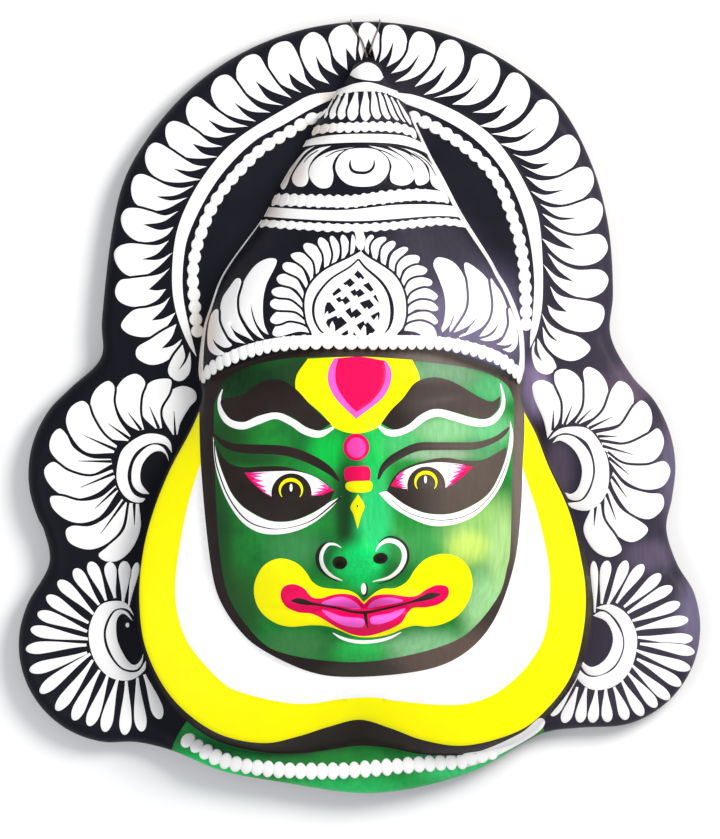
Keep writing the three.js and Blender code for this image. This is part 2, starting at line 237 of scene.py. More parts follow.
# Whole figure seen from the front: crown, collar, crown, tip.
def figureLine(edgeColumn, spread):
    heights = np.arange(199, 14, -8.0)
    left = np.column_stack([tableAt(crownRows, heights, 1) - spread, heights])
    right = np.column_stack([tableAt(crownRows, heights, 2) + spread, heights])[::-1]
    tip = [(4, 207 + spread), (-4.5, 204 + spread)]
    rest = [(14.5 + spread, 200), (12, 204.5 + spread)]
    around = collarRows[:, edgeColumn:edgeColumn + 2]
    return smoothLine(np.vstack([tip, left, around, right, rest]), True, 2.2)


boardLine = smoothLine(boardPoints, True, 2.0)
edgeLine = figureLine(0, 0)
footLine = figureLine(2, 0.6)


# Distance to a closed line, positive inside it.
def signedGap(loop, points):
    start = loop
    step = np.roll(loop, -1, 0) - loop
    square = (step**2).sum(1)
    rise = np.where(np.abs(step[:, 1]) < 1e-9, 1e-9, step[:, 1])
    gaps = np.empty(len(points))
    batch = 4000
    for i in range(0, len(points), batch):
        x = points[i:i + batch, 0:1]
        y = points[i:i + batch, 1:2]
        dx, dy = x - start[:, 0], y - start[:, 1]
        t = np.clip((dx * step[:, 0] + dy * step[:, 1]) / square, 0, 1)
        off = (dx - step[:, 0] * t) ** 2 + (dy - step[:, 1] * t) ** 2
        crossing = (start[:, 1] > y) != (start[:, 1] + step[:, 1] > y)
        inside = (crossing & (x < start[:, 0] + step[:, 0] * dy / rise)).sum(1) % 2 == 1
        gaps[i:i + batch] = np.sqrt(off.min(1)) * np.where(inside, 1, -1)
    return gaps


def boardHeight(points, inset):
    x, y = points.T
    lip = np.maximum(mould["boardRound"] - inset, 0)
    rolled = mould["boardRound"] - np.sqrt(mould["boardRound"] ** 2 - lip**2)
    roll = mould["neckRoll"] * ramp(*mould["neckRows"], y) * ramp(*mould["neckSides"], np.abs(x))
    return mould["boardRise"] + mould["boardDome"] * ramp(0, mould["boardDomeReach"], inset) + roll - rolled


def crownHeight(points, board):
    x, y = points.T
    left, right = tableAt(crownRows, y, 1), tableAt(crownRows, y, 2)
    u = np.minimum(np.abs((2 * x - left - right) / (right - left)), 1)
    rise = tableAt(crownRows, y, 3) * (1 - u ** tableAt(crownRows, y, 4)) ** mould["crownPower"]
    off = np.hypot(x - knob["x"], y - knob["y"]) / knob["radius"]
    button = knob["foot"] + knob["rise"] * np.sqrt(np.clip(1 - off * off, 0, 1))
    return board + np.where(off < 1, np.maximum(rise, button), rise)


def faceHeight(points, edgeInset):
    x, y = points.T
    ux = np.abs(x - face["x"]) / face["half"]
    uy = np.abs(y - face["y"]) / np.where(y > face["y"], face["up"], face["down"])
    radius = (ux ** face["plan"] + uy ** face["plan"]) ** (1 / face["plan"])
    deep = ramp(*mould["baseRows"], y)
    base = mould["baseLow"] + (mould["baseHigh"] - mould["baseLow"]) * deep
    dome = base + face["dome"] * (1 - np.minimum(radius, 1) ** face["fall"]) ** face["shoulder"]
    for fx, fy, along, across, turn, height in faceForms:
        c, s = math.cos(math.radians(turn)), math.sin(math.radians(turn))
        p = ((x - fx) * c + (y - fy) * s) / along
        q = ((y - fy) * c - (x - fx) * s) / across
        dome = dome + height * np.exp(-p * p - q * q) * ramp(1, face["formsEnd"], radius)
    outside = np.maximum(radius - 1, 0) * face["half"]
    share = outside / (outside + edgeInset + 0.01)
    soft = np.maximum(1 - edgeInset / mould["lipRound"], 0)
    drop = mould["dropLow"] + (mould["dropHigh"] - mould["dropLow"]) * deep
    return np.where(radius < 1, dome, base - drop * share ** mould["dropCurve"] - soft * soft)


def browAt(x):
    return mould["browTop"] - mould["browDrop"] * (x / mould["browHalf"]) ** 2


# Front surface of the whole mask.
def frontHeight(points):
    foot = signedGap(footLine, points)
    edge = signedGap(edgeLine, points)
    board = boardHeight(points, np.maximum(signedGap(boardLine, points), 0))
    brow = browAt(points[:, 0])
    above = ramp(brow - mould["browSoft"], brow + mould["browSoft"], points[:, 1])
    figure = faceHeight(points, np.maximum(edge, 0))
    figure = figure + (crownHeight(points, board) - figure) * above
    share = np.maximum(foot, 0) / np.maximum(foot - edge, 1e-6)
    climb = np.where(edge < 0, share ** mould["sideCurve"], 1)
    height = board + (np.maximum(figure, board) - board) * climb
    return np.where(foot <= 0, board, height)


print("mould ready")

# The painter's sheet: squares of 0.3 mm, x to the right and y down. Every painted outline, width and patch
# is drawn on it.
sheet = {"square": 0.3, "middleX": 720.0, "middleY": 813.0, "height": 1678}
fineStep = 1.05  # spacing of points on painted outlines, mm
hairline = 0.24  # thinnest line that the brush leaves, mm


def onMask(points):
    p = np.array(points, float)
    p[:, 0] = (p[:, 0] - sheet["middleX"]) * sheet["square"]
    p[:, 1] = (sheet["middleY"] - p[:, 1]) * sheet["square"]
    if p.shape[1] > 2:
        p[:, 2] *= sheet["square"]
    return p


# Closed outline of smooth runs that meet in corners; one run alone closes on itself smoothly.
def outline(*runs):
    if len(runs) == 1:
        return smoothLine(onMask(runs[0]), True, fineStep)
    return np.vstack([smoothLine(onMask(run), False, fineStep)[:-1] for run in runs])


# Brush stroke along points of x, y and width.
def stroke(*points):
    line = smoothLine(onMask(points), False, fineStep)
    way = np.gradient(line[:, :2], axis=0)
    way /= np.hypot(*way.T)[:, None]
    side = np.column_stack([-way[:, 1], way[:, 0]]) * np.maximum(line[:, 2:3], hairline) / 2
    return np.vstack([line[:, :2] - side, (line[:, :2] + side)[::-1]])


def oval(x, y, radiusX, radiusY, turn=0.0):
    centre = onMask([(x, y)])[0]
    rx, ry = radiusX * sheet["square"], radiusY * sheet["square"]
    count = max(round(math.pi * (rx + ry) / fineStep), 10)
    a = np.linspace(0, 2 * math.pi, count, endpoint=False)
    c, s = math.cos(math.radians(turn)), math.sin(math.radians(turn))
    px, py = rx * np.cos(a), ry * np.sin(a)
    return centre + np.column_stack([px * c - py * s, px * s + py * c])


# Closed shape with straight sides.
def cornered(points):
    return outline(*[[a, b] for a, b in zip(points, points[1:] + points[:1])])


brushLoad = {"tipCuts": (0.965, 0.99), "soft": 0.6}  # extra points at the tip, softness of the swelling


# Petal of one brush load: a thin root that swells to a round tip; bend bows it to the left of that way.
def petal(root, tip, width, bend=0.0, fullAt=0.7, rootShare=0.22):
    (ax, ay), (bx, by) = onMask([root, tip])
    length = math.hypot(bx - ax, by - ay)
    half = width * sheet["square"] / 2
    t = np.linspace(0, 1, max(round(length / fineStep), 8))
    t = np.unique(np.concatenate([t, brushLoad["tipCuts"]]))
    soft = brushLoad["soft"]
    swell = ramp(0, fullAt, t) * soft + np.clip(t / fullAt, 0, 1) * (1 - soft)
    cap = np.sqrt(1 - (np.clip(t - fullAt, 0, 1) / (1 - fullAt)) ** 2)
    profile = half * np.where(t < fullAt, rootShare + (1 - rootShare) * swell, cap)
    ux, uy = (bx - ax) / length, (by - ay) / length
    bow = bend * length * 4 * t * (1 - t)
    slope = np.arctan(bend * 4 * (1 - 2 * t))
    cx = ax + ux * t * length - uy * bow
    cy = ay + uy * t * length + ux * bow
    nx, ny = -uy * np.cos(slope) - ux * np.sin(slope), ux * np.cos(slope) - uy * np.sin(slope)
    left = np.column_stack([cx + nx * profile, cy + ny * profile])
    right = np.column_stack([cx - nx * profile, cy - ny * profile])
    return np.vstack([right, left[-2::-1]])


# Forked petal: one run round its outside from root to root, and the wedge between the roots, whose middle
# point is its tip; points before and after it lie on the wedge's sides.
def forkedPetal(wedge, *run):
    half = len(wedge) // 2
    return outline(run, [run[-1], *wedge[:half + 1]], [*wedge[half:], run[0]])


layers = []  # painted areas in the order they are painted; a later one covers an earlier one


def paintOn(paint, zone, loop, rise=0.25):
    layers.append({"paint": paint, "zone": zone, "loop": loop, "rise": rise})


def paintShapes(paint, zone, shapes, rise=0.25):
    for runs in shapes:
        paintOn(paint, zone, outline(*runs), rise)


def paintStrokes(paint, zone, lines, rise=0.25):
    for points in lines:
        paintOn(paint, zone, stroke(*points), rise)


# Neck.
paintOn("green", "board", outline(
    [(392, 1424), (374, 1442), (344, 1498), (336, 1600), (500, 1660), (920, 1660), (1104, 1580),
     (1096, 1490), (1086, 1454), (1072, 1424), (900, 1400), (560, 1400)]), 0)

# Halo, rosette and leaf petals: the dark line between them, and the slit of a petal that isn't forked. The
# slit's root takes a share of the petal's own root.
petals = {"gap": 10.0, "slitRoot": 6.8, "slitShare": 0.6, "slitTip": 1.0}


# Petals over one another, each with a dark line round it. Each is its wedge, or the tip of its slit, then
# the run round its outside from root to root.
def paintForked(zone, petalRuns):
    for wedge, *run in petalRuns:
        paintOn("night", zone, stroke(*[(x, y, petals["gap"]) for x, y in run]), 0)
        if np.ndim(wedge) > 1:
            paintOn("white", zone, forkedPetal(wedge, *run))
            continue
        (ax, ay), (bx, by) = run[0], run[-1]
        rootWidth = min(petals["slitRoot"], petals["slitShare"] * math.dist(run[0], run[-1]))
        paintOn("white", zone, outline(run, [run[-1], run[0]]))
        slit = stroke(((ax + bx) / 2, (ay + by) / 2, rootWidth), (*wedge, petals["slitTip"]))
        paintOn("night", zone, slit, 0)


# Halo petals, then the white ring over their roots.
haloPetals = [  # the middle one, the left ones from the top down, the right ones from the top down
    (((728, 104), (737, 77), (745, 98)), (751, 122), (759, 98), (759, 70), (748, 51), (731, 44), (720, 54),
     (717, 98), (723, 121)),
    (((693, 120), (692, 96), (702, 109)), (711, 121), (712, 98), (714, 76), (706, 58), (692, 49), (670, 56),
     (658, 74), (660, 96), (672, 120), (695, 140)),
    (((640, 144), (631, 110), (648, 135)), (677, 151), (665, 134), (659, 102), (650, 80), (638, 68),
     (624, 64), (608, 75), (600, 98), (607, 126), (628, 155), (659, 168)),
    (((585, 170), (577, 145), (598, 162)), (631, 179), (612, 158), (605, 134), (580, 85), (564, 83),
     (544, 94), (536, 118), (541, 144), (562, 168), (603, 186)),
    (((536, 197), (510, 161), (540, 181)), (583, 196), (560, 174), (534, 138), (519, 113), (508, 108),
     (488, 115), (474, 134), (475, 162), (492, 185), (524, 204), (567, 211)),
    (((490, 229), (468, 205), (500, 222)), (541, 225), (516, 214), (494, 194), (456, 150), (434, 155),
     (422, 178), (427, 202), (444, 223), (472, 236), (512, 243)),
    (((444, 264), (415, 239), (452, 254)), (496, 253), (468, 244), (436, 223), (392, 193), (378, 203),
     (372, 222), (380, 248), (402, 266), (434, 275), (472, 267)),
    (((406, 307), (384, 287), (412, 294)), (445, 293), (420, 285), (394, 264), (368, 248), (346, 242),
     (334, 249), (331, 270), (342, 296), (364, 312), (396, 317), (436, 314)),
    (((376, 353), (346, 337), (382, 342)), (414, 333), (388, 329), (312, 285), (298, 292), (290, 314),
     (297, 340), (320, 359), (356, 365), (402, 359)),
    (((340, 401), (312, 393), (352, 390)), (388, 371), (364, 376), (338, 372), (284, 348), (270, 352),
     (262, 376), (269, 404), (292, 419), (328, 419), (375, 395)),
    (((320, 460), (286, 449), (326, 443)), (357, 422), (330, 431), (302, 423), (274, 416), (252, 418),
     (242, 434), (248, 460), (272, 481), (304, 483), (334, 470), (347, 454)),
    (((318, 519), (283, 519), (313, 508)), (338, 481), (316, 490), (256, 487), (236, 494), (228, 506),
     (234, 530), (254, 550), (284, 552), (314, 536), (345, 505)),
    (((314, 581), (297, 579), (320, 558)), (340, 536), (320, 548), (262, 557), (240, 561), (230, 582),
     (236, 600), (258, 612), (286, 612), (314, 600), (332, 578)),
    (((324, 638), (303, 641), (326, 618)), (340, 594), (324, 607), (296, 615), (266, 621), (242, 651),
     (254, 666), (282, 674), (310, 670), (334, 652), (351, 625)),
    (((344, 692), (323, 697), (343, 675)), (353, 648), (326, 662), (300, 679), (274, 696), (273, 714),
     (298, 729), (324, 726), (348, 709), (364, 678)),
    (((372, 723), (357, 741), (370, 714)), (365, 689), (345, 716), (336, 742), (344, 757), (362, 762),
     (378, 748), (382, 724), (380, 703)),
    (((782, 113), (787, 82), (773, 111)), (758, 125), (763, 100), (764, 72), (770, 53), (784, 49),
     (800, 54), (812, 72), (812, 98), (798, 119), (773, 134)),
    (((820, 142), (840, 107), (813, 137)), (782, 147), (800, 127), (815, 103), (820, 80), (832, 64),
     (850, 65), (866, 78), (870, 102), (861, 126), (840, 148), (816, 159), (790, 164)),
    (((873, 169), (895, 130), (866, 158)), (829, 174), (867, 128), (875, 104), (885, 85), (902, 79),
     (918, 87), (928, 112), (923, 142), (904, 166), (878, 183), (847, 190)),
    (((936, 188), (964, 149), (932, 183)), (867, 196), (898, 184), (924, 165), (939, 140), (946, 115),
     (960, 107), (982, 113), (998, 130), (998, 158), (981, 189), (948, 208), (904, 209)),
    (((992, 238), (1018, 208), (988, 224)), (945, 225), (968, 217), (990, 198), (1021, 147), (1038, 147),
     (1055, 165), (1060, 190), (1047, 224), (1020, 245), (990, 255), (959, 252)),
    (((1038, 282), (1076, 253), (1036, 273)), (981, 268), (1010, 263), (1038, 248), (1062, 222),
     (1078, 201), (1097, 200), (1113, 217), (1117, 240), (1105, 272), (1078, 295), (1040, 301),
     (1000, 288)),
    (((1069, 339), (1102, 325), (1068, 327)), (1025, 308), (1050, 313), (1082, 305), (1126, 272),
     (1142, 270), (1157, 286), (1160, 304), (1147, 332), (1119, 349), (1082, 350), (1041, 330)),
    (((1090, 390), (1129, 380), (1088, 380)), (1051, 353), (1082, 361), (1114, 356), (1162, 334),
     (1180, 337), (1188, 360), (1180, 383), (1156, 402), (1122, 409), (1088, 401), (1061, 382)),
    (((1120, 440), (1155, 436), (1114, 432)), (1080, 408), (1104, 415), (1136, 412), (1166, 402),
     (1186, 396), (1202, 406), (1206, 424), (1194, 452), (1166, 466), (1132, 463), (1106, 448),
     (1084, 427)),
    (((1116, 492), (1152, 500), (1117, 477)), (1087, 450), (1116, 464), (1148, 472), (1200, 469),
     (1212, 480), (1215, 500), (1198, 522), (1168, 531), (1134, 525), (1106, 505), (1084, 477)),
    (((1114, 553), (1148, 564), (1117, 540)), (1095, 506), (1120, 526), (1152, 539), (1204, 541),
     (1217, 558), (1206, 583), (1176, 596), (1144, 590), (1112, 567), (1086, 528)),
    (((1110, 620), (1134, 624), (1112, 601)), (1100, 572), (1118, 590), (1204, 611), (1209, 630),
     (1196, 656), (1164, 664), (1130, 655), (1102, 631), (1095, 610)),
    (((1099, 674), (1116, 684), (1097, 662)), (1083, 626), (1099, 648), (1126, 664), (1158, 674),
     (1181, 696), (1166, 714), (1142, 722), (1112, 712), (1090, 687), (1085, 653)),
    (((1069, 706), (1084, 724), (1075, 698)), (1075, 676), (1090, 700), (1108, 721), (1112, 738),
     (1094, 749), (1074, 741), (1064, 714), (1065, 692), (1070, 682)),
]
paintForked("board", haloPetals)
haloRings = [
    ([(690, 176), (668, 183), (622, 190), (576, 214), (478, 275), (435, 316), (386, 386), (354, 462),
      (344, 557), (351, 619), (375, 685), (393, 714)], [(393, 714), (366, 588), (369, 505), (379, 465),
      (416, 389), (457, 332), (513, 279), (566, 250), (620, 219), (667, 198), (690, 192)]),
    ([(770, 180), (800, 186), (828, 190), (920, 227), (999, 288), (1067, 403), (1079, 446), (1085, 600),
      (1074, 664), (1060, 696)], [(1060, 696), (1061, 664), (1065, 633), (1068, 550), (1051, 443),
      (1012, 351), (950, 279), (866, 229), (770, 194)]),
]
for outer, inner in haloRings:
    paintOn("white", "board", outline(outer, inner, [inner[-1], outer[0]]))

# Upper rosettes: petals as one run from root to root, after the tip of their wedge.
upperLeft = [
    ((348, 822), (355, 869), (361, 846), (379, 815), (393, 798), (390, 782), (366, 772), (338, 784),
     (324, 806), (327, 837), (346, 870)),
    ((299, 813), (324, 856), (321, 818), (339, 784), (342, 760), (319, 758), (297, 767), (281, 796),
     (286, 832), (311, 857)),
    ((256, 825), (288, 859), (280, 826), (282, 791), (290, 764), (273, 748), (248, 757), (230, 786),
     (237, 822), (255, 849), (277, 861)),
    ((216, 847), (261, 872), (238, 840), (227, 804), (228, 772), (217, 762), (192, 778), (181, 805),
     (190, 842), (219, 876), (256, 882)),
    ((168, 871), (234, 892), (206, 868), (184, 832), (175, 808), (164, 802), (142, 814), (132, 840),
     (142, 872), (172, 904), (227, 906)),
    ((155, 922), (222, 918), (180, 915), (147, 895), (132, 868), (119, 857), (104, 870), (100, 900),
     (132, 934), (176, 950), (224, 928)),
    ((161, 975), (225, 939), (180, 953), (136, 942), (106, 924), (89, 938), (93, 960), (120, 988),
     (156, 997), (196, 985), (230, 955)),
    ((190, 1017), (231, 971), (200, 995), (161, 1002), (120, 992), (101, 994), (104, 1014), (130, 1038),
     (161, 1046), (198, 1034), (236, 982)),
    ((201, 1068), (244, 998), (216, 1032), (180, 1052), (144, 1052), (132, 1060), (138, 1084), (176, 1099),
     (212, 1088), (242, 1058), (254, 1006)),
    ((269, 1050), (259, 1006), (248, 1060), (214, 1094), (197, 1110), (208, 1121), (234, 1122), (262, 1100),
     (281, 1056), (278, 1008)),
]
upperRight = [
    ((1107, 821), (1095, 876), (1087, 840), (1067, 792), (1066, 768), (1084, 760), (1112, 776), (1125, 810),
     (1116, 846)),
    ((1144, 812), (1124, 848), (1125, 804), (1109, 762), (1111, 744), (1129, 738), (1154, 750), (1168, 782),
     (1158, 822), (1134, 849)),
    ((1183, 818), (1150, 845), (1167, 814), (1169, 766), (1167, 742), (1176, 734), (1200, 746), (1216, 779),
     (1202, 824), (1159, 848)),
    ((1224, 834), (1173, 853), (1206, 822), (1225, 776), (1239, 762), (1260, 774), (1267, 804), (1244, 844),
     (1183, 860)),
    ((1234, 873), (1192, 867), (1238, 854), (1270, 810), (1284, 801), (1301, 818), (1302, 852), (1272, 884),
     (1200, 878)),
    ((1266, 909), (1203, 885), (1250, 889), (1294, 870), (1316, 857), (1328, 882), (1314, 916), (1276, 931),
     (1236, 920), (1207, 899)),
    ((1259, 950), (1214, 906), (1244, 927), (1292, 931), (1330, 923), (1341, 942), (1326, 972), (1290, 979),
     (1250, 961), (1220, 924)),
    ((1254, 996), (1226, 944), (1252, 972), (1296, 986), (1324, 990), (1327, 1014), (1300, 1038),
     (1260, 1025), (1229, 982), (1221, 961)),
    ((1232, 1040), (1216, 976), (1240, 1016), (1296, 1058), (1282, 1077), (1260, 1084), (1228, 1065),
     (1210, 1030), (1209, 998)),
    ((1188, 1052), (1201, 1007), (1207, 1038), (1232, 1075), (1243, 1101), (1220, 1114), (1190, 1102),
     (1167, 1060), (1181, 1019)),
]
paintForked("board", (*upperLeft, *upperRight))
upperCurls = [
    ([(344, 906), (341, 885), (328, 872), (292, 868), (256, 888), (241, 907), (233, 953), (239, 977),
      (251, 994), (268, 1004), (285, 1004), (291, 997)], [(291, 997), (277, 994), (265, 985), (255, 951),
      (270, 907), (302, 887), (331, 890), (344, 906)]),
    ([(338, 923), (334, 907), (326, 895), (311, 889), (294, 894), (268, 924), (264, 965), (273, 980),
      (285, 987), (299, 988)], [(299, 988), (282, 965), (284, 931), (304, 906), (319, 902), (330, 907),
      (338, 923)]),
    ([(1097, 879), (1111, 863), (1129, 855), (1172, 856), (1190, 871), (1216, 922), (1211, 990),
      (1180, 1020), (1144, 1016), (1134, 1006)], [(1134, 1006), (1162, 1002), (1175, 990), (1190, 944),
      (1180, 896), (1165, 878), (1129, 866), (1097, 879)]),
    ([(1105, 886), (1116, 873), (1134, 870), (1152, 876), (1180, 909), (1185, 954), (1165, 996),
      (1152, 1001), (1137, 997), (1130, 985)], [(1130, 985), (1142, 988), (1155, 978), (1164, 939),
      (1149, 901), (1120, 881), (1105, 886)]),
]

# Lower rosettes: straight petals, tip then base.
lowerLeft = [
    ((275, 1124.8), (257.6, 1212)), ((248.8, 1122), (246, 1203.2)), ((219, 1124), (230, 1196)),
    ((179.2, 1124), (212, 1200.8)), ((149.4, 1137.4), (198, 1209.4)), ((116, 1162), (186.6, 1228)),
    ((93.4, 1192), (176.8, 1245.6)), ((74.8, 1226.8), (174, 1263)), ((61, 1258), (175.6, 1278)),
    ((51.2, 1299), (173, 1290)), ((58.6, 1341.2), (174, 1305.2)), ((80, 1386), (180.4, 1307.6)),
    ((112, 1420.8), (185.4, 1320)), ((147, 1440.8), (199.2, 1340)), ((176.8, 1452), (215.4, 1350)),
    ((209, 1464), (235.2, 1358.6)), ((248.8, 1470), (252.6, 1362)), ((284, 1463.2), (275, 1355)),
    ((320, 1438), (288.6, 1348.8)),
]
lowerRight = [
    ((1186.8, 1122), (1189.2, 1225)), ((1215, 1121.2), (1203.2, 1207.4)), ((1252.8, 1121.2), (1215, 1210)),
    ((1287, 1129.4), (1232.8, 1206)), ((1321.2, 1148), (1248, 1214)), ((1344.8, 1174), (1255.2, 1226)),
    ((1360, 1206), (1264.6, 1241.6)), ((1376.8, 1239.2), (1271.6, 1259.2)),
    ((1385.6, 1277), (1275.2, 1274.6)), ((1389.6, 1305.2), (1280, 1287.6)),
    ((1381.4, 1338), (1272.8, 1300.6)), ((1362.6, 1371.4), (1274, 1318)),
    ((1340, 1398.6), (1264.6, 1331.2)), ((1313, 1415), (1256, 1346.6)), ((1286, 1431.6), (1243.4, 1360.8)),
    ((1252.8, 1440), (1228, 1374)), ((1216, 1444.6), (1211.6, 1377.2)), ((1184, 1445.6), (1192.6, 1379.6)),
    ((1159.6, 1445.6), (1172.6, 1375)), ((1126.6, 1445.6), (1154.8, 1374)), ((1103, 1432), (1158, 1348)),
]
lowerPetal = {"leftWidth": 24.4, "rightWidth": 22.0, "narrowWidth": 15.2, "fullAt": 0.76, "bow": 0.015,
              "gap": 4.0}
for i, (tip, base) in enumerate((*lowerLeft, *lowerRight)):
    width = lowerPetal["leftWidth" if i < len(lowerLeft) else "rightWidth"]
    if i in (0, len(lowerLeft)):
        width = lowerPetal["narrowWidth"]
    bow = lowerPetal["bow"] * (-1) ** i
    paintOn("night", "board", petal(base, tip, width + lowerPetal["gap"], bow, lowerPetal["fullAt"]), 0)
    paintOn("white", "board", petal(base, tip, width, bow, lowerPetal["fullAt"]))
lowerCurls = [
    ([(268, 1232), (258, 1212), (245, 1203), (214, 1204), (197, 1214), (178, 1259), (187, 1316),
      (219, 1354), (261, 1360), (290, 1339), (292, 1321)], [(292, 1321), (275, 1343), (244, 1339),
      (214, 1301), (208, 1259), (226, 1222), (244, 1216), (256, 1219), (268, 1232)]),
    ([(266, 1242), (254, 1224), (241, 1219), (229, 1224), (212, 1264), (222, 1306), (246, 1336),
      (273, 1339), (284, 1326), (287, 1306)], [(287, 1306), (281, 1321), (270, 1330), (259, 1325),
      (239, 1292), (233, 1269), (235, 1237), (246, 1227), (266, 1242)]),
    ([(1191, 1216), (1208, 1210), (1225, 1210), (1255, 1230), (1274, 1275), (1260, 1341), (1225, 1374),
      (1180, 1378), (1151, 1350), (1153, 1324)], [(1153, 1324), (1161, 1341), (1173, 1351), (1189, 1354),
      (1227, 1338), (1248, 1296), (1241, 1253), (1215, 1223), (1191, 1216)]),
    ([(1186, 1231), (1201, 1223), (1215, 1227), (1241, 1263), (1246, 1284), (1243, 1305), (1232, 1327),
      (1215, 1343), (1196, 1351), (1177, 1349), (1166, 1338), (1158, 1317)], [(1158, 1317), (1182, 1334),
      (1210, 1319), (1226, 1279), (1213, 1244), (1186, 1231)]),
]
paintShapes("white", "board", (*upperCurls, *lowerCurls))
paintOn("white", "board", oval(255, 1250, 3.8, 4.8))

# Crown: knob and top band.
paintOn("white", "crown", outline(
    [(700, 151), (703, 144), (732, 126), (750, 131), (762, 144), (767, 155)],
    [(767, 155), (760, 162), (714, 158), (700, 151)]))
paintOn("white", "crown", outline(
    [(644, 188), (683, 177), (710, 168), (739, 166), (788, 180), (816, 186)],
    [(816, 186), (824, 216)],
    [(824, 216), (796, 198), (762, 186), (698, 187), (663, 204), (644, 212)],
    [(644, 212), (644, 188)]))
crownTopPetals = [  # top, bottom, width
    ((666, 198), (649.2, 237.2), 8), ((680, 192), (662, 239.2), 16), ((694, 188), (680.8, 240.4), 20),
    ((712.8, 186), (702.8, 242.8), 24), ((731.2, 184), (731.2, 243.6), 23.2),
    ((746, 184.8), (755.6, 240), 22), ((758, 186.8), (778, 240), 18.8), ((770, 190), (796.4, 242), 16),
    ((782, 195.2), (810.4, 245.2), 11.2), ((794, 200), (822, 250), 8.8),
]
topPetal = {"fullAt": 0.66, "gap": 6.8, "darkRoot": 0.55, "thinner": 1.6, "whiteRoot": 0.3}
for top, bottom, width in crownTopPetals:
    dark = petal(top, bottom, width + topPetal["gap"], 0, topPetal["fullAt"], topPetal["darkRoot"])
    light = petal(top, bottom, width - topPetal["thinner"], 0, topPetal["fullAt"], topPetal["whiteRoot"])
    paintOn("night", "crown", dark, 0)
    paintOn("white", "crown", light)


# Band right across the crown between an upper and a lower run.
def band(upper, lower):
    return outline(upper, [upper[-1], lower[-1]], lower[::-1], [lower[0], upper[0]])


crownBands = [
    ([(580, 290), (650, 273), (790, 271), (820, 276), (880, 302)], [(576, 304), (612, 293), (790, 289),
      (849, 305), (880, 324)]),
    ([(510, 410), (543, 415), (680, 422), (800, 411), (900, 412), (940, 420)], [(500, 428), (535, 434),
      (711, 444), (877, 433), (918, 435), (960, 442)]),
]
for upper, lower in crownBands:
    paintOn("white", "crown", band(upper, lower))
rowStrips = [  # white under the rows of beads
    ("crown", [(628, 262, 14), (660, 257, 14.8), (808, 259, 14), (830, 269, 12)]),
    ("crown", [(544, 400, 20), (698, 405, 22), (748, 399, 22), (840, 391, 22), (896, 395, 22)]),
    ("crown", [(520, 446, 12), (650, 456, 13.2), (750, 456, 12.8), (877, 444, 12), (910, 446, 12),
      (940, 452, 12)]),
    ("board", [(646, 227, 10), (516, 304, 16), (426, 410, 16), (387, 524, 16), (390, 616, 15.2),
      (395, 662, 10)]),
    ("board", [(828, 234, 12), (876, 258, 16), (920, 286, 16), (980, 340, 16.8), (1018, 414, 16.8),
      (1038, 476, 16.8), (1048, 536, 16.8), (1052, 600, 16), (1052, 648, 10)]),
    ("crown", [(435, 724, 12), (482, 703, 16), (546, 687, 18), (604, 681, 18), (698, 681, 18),
      (859, 682, 18), (930, 691, 16), (994, 711, 14), (1024, 732, 12)]),
]

# Scroll between the two upper bands: an oval curl with three petals on each side.
scroll = [
    ([(724, 298), (754, 302), (775, 320), (778, 340), (768, 360), (748, 373), (700, 372), (680, 358),
      (671, 338), (677, 317), (694, 302)],),
    ([(709, 296), (678, 300), (648, 309), (627, 325), (618, 346), (625, 366), (642, 378), (660, 375),
      (667, 356), (665, 333), (674, 314), (693, 300), (709, 296)], [(708.8, 295.6), (708.4, 295.2)]),
    ([(663, 293), (637, 298), (614, 312), (584, 358), (593, 373), (610, 373), (617, 361), (617, 340),
      (626, 320), (642, 305), (663, 293)], [(662.8, 292.8), (662.4, 292.4)]),
    ([(630, 293), (608, 304), (561, 372), (567, 380), (575, 369), (582, 350), (609, 309), (630, 293)],
     [(629.6, 293.2), (629.2, 292.8)]),
    ([(737, 293), (765, 298), (790, 307), (812, 322), (824, 340), (827, 360), (814, 371), (796, 372),
      (782, 365), (780, 349), (783, 334), (775, 316), (757, 301), (737, 293)], [(736.8, 292.8),
      (736.4, 292.4)]),
    ([(775, 294), (831, 315), (849, 330), (858, 360), (848, 370), (834, 371), (828, 356), (825, 336),
      (809, 317), (775, 294)], [(775.2, 294), (774.8, 293.6)]),
    ([(798, 296), (826, 303), (849, 315), (892, 366), (898, 384), (876, 380), (863, 369), (855, 332),
      (813, 301), (798, 296)], [(798, 296), (797.6, 295.6)]),
]
paintShapes("white", "crown", scroll)
scrollLines = [
    [(701, 322, 1.6), (700, 333, 4.8), (706, 344, 6), (732, 347, 5.6), (743, 341, 5.2), (748, 332, 4),
     (748, 322, 1.6)],
    [(651, 316, 1.2), (671, 305, 2.6), (699, 299, 2)],
    [(608, 326, 1.2), (618, 314, 2.4), (636, 302, 2)],
    [(797, 321, 1.2), (774, 307, 2.4), (744, 297, 2)],
    [(833, 321, 1.2), (814, 307, 2.2), (790, 298, 1.6)],
    [(872, 352, 1.2), (856, 326, 2.2), (826, 306, 1.6)],
]
paintStrokes("night", "crown", scrollLines, 0)

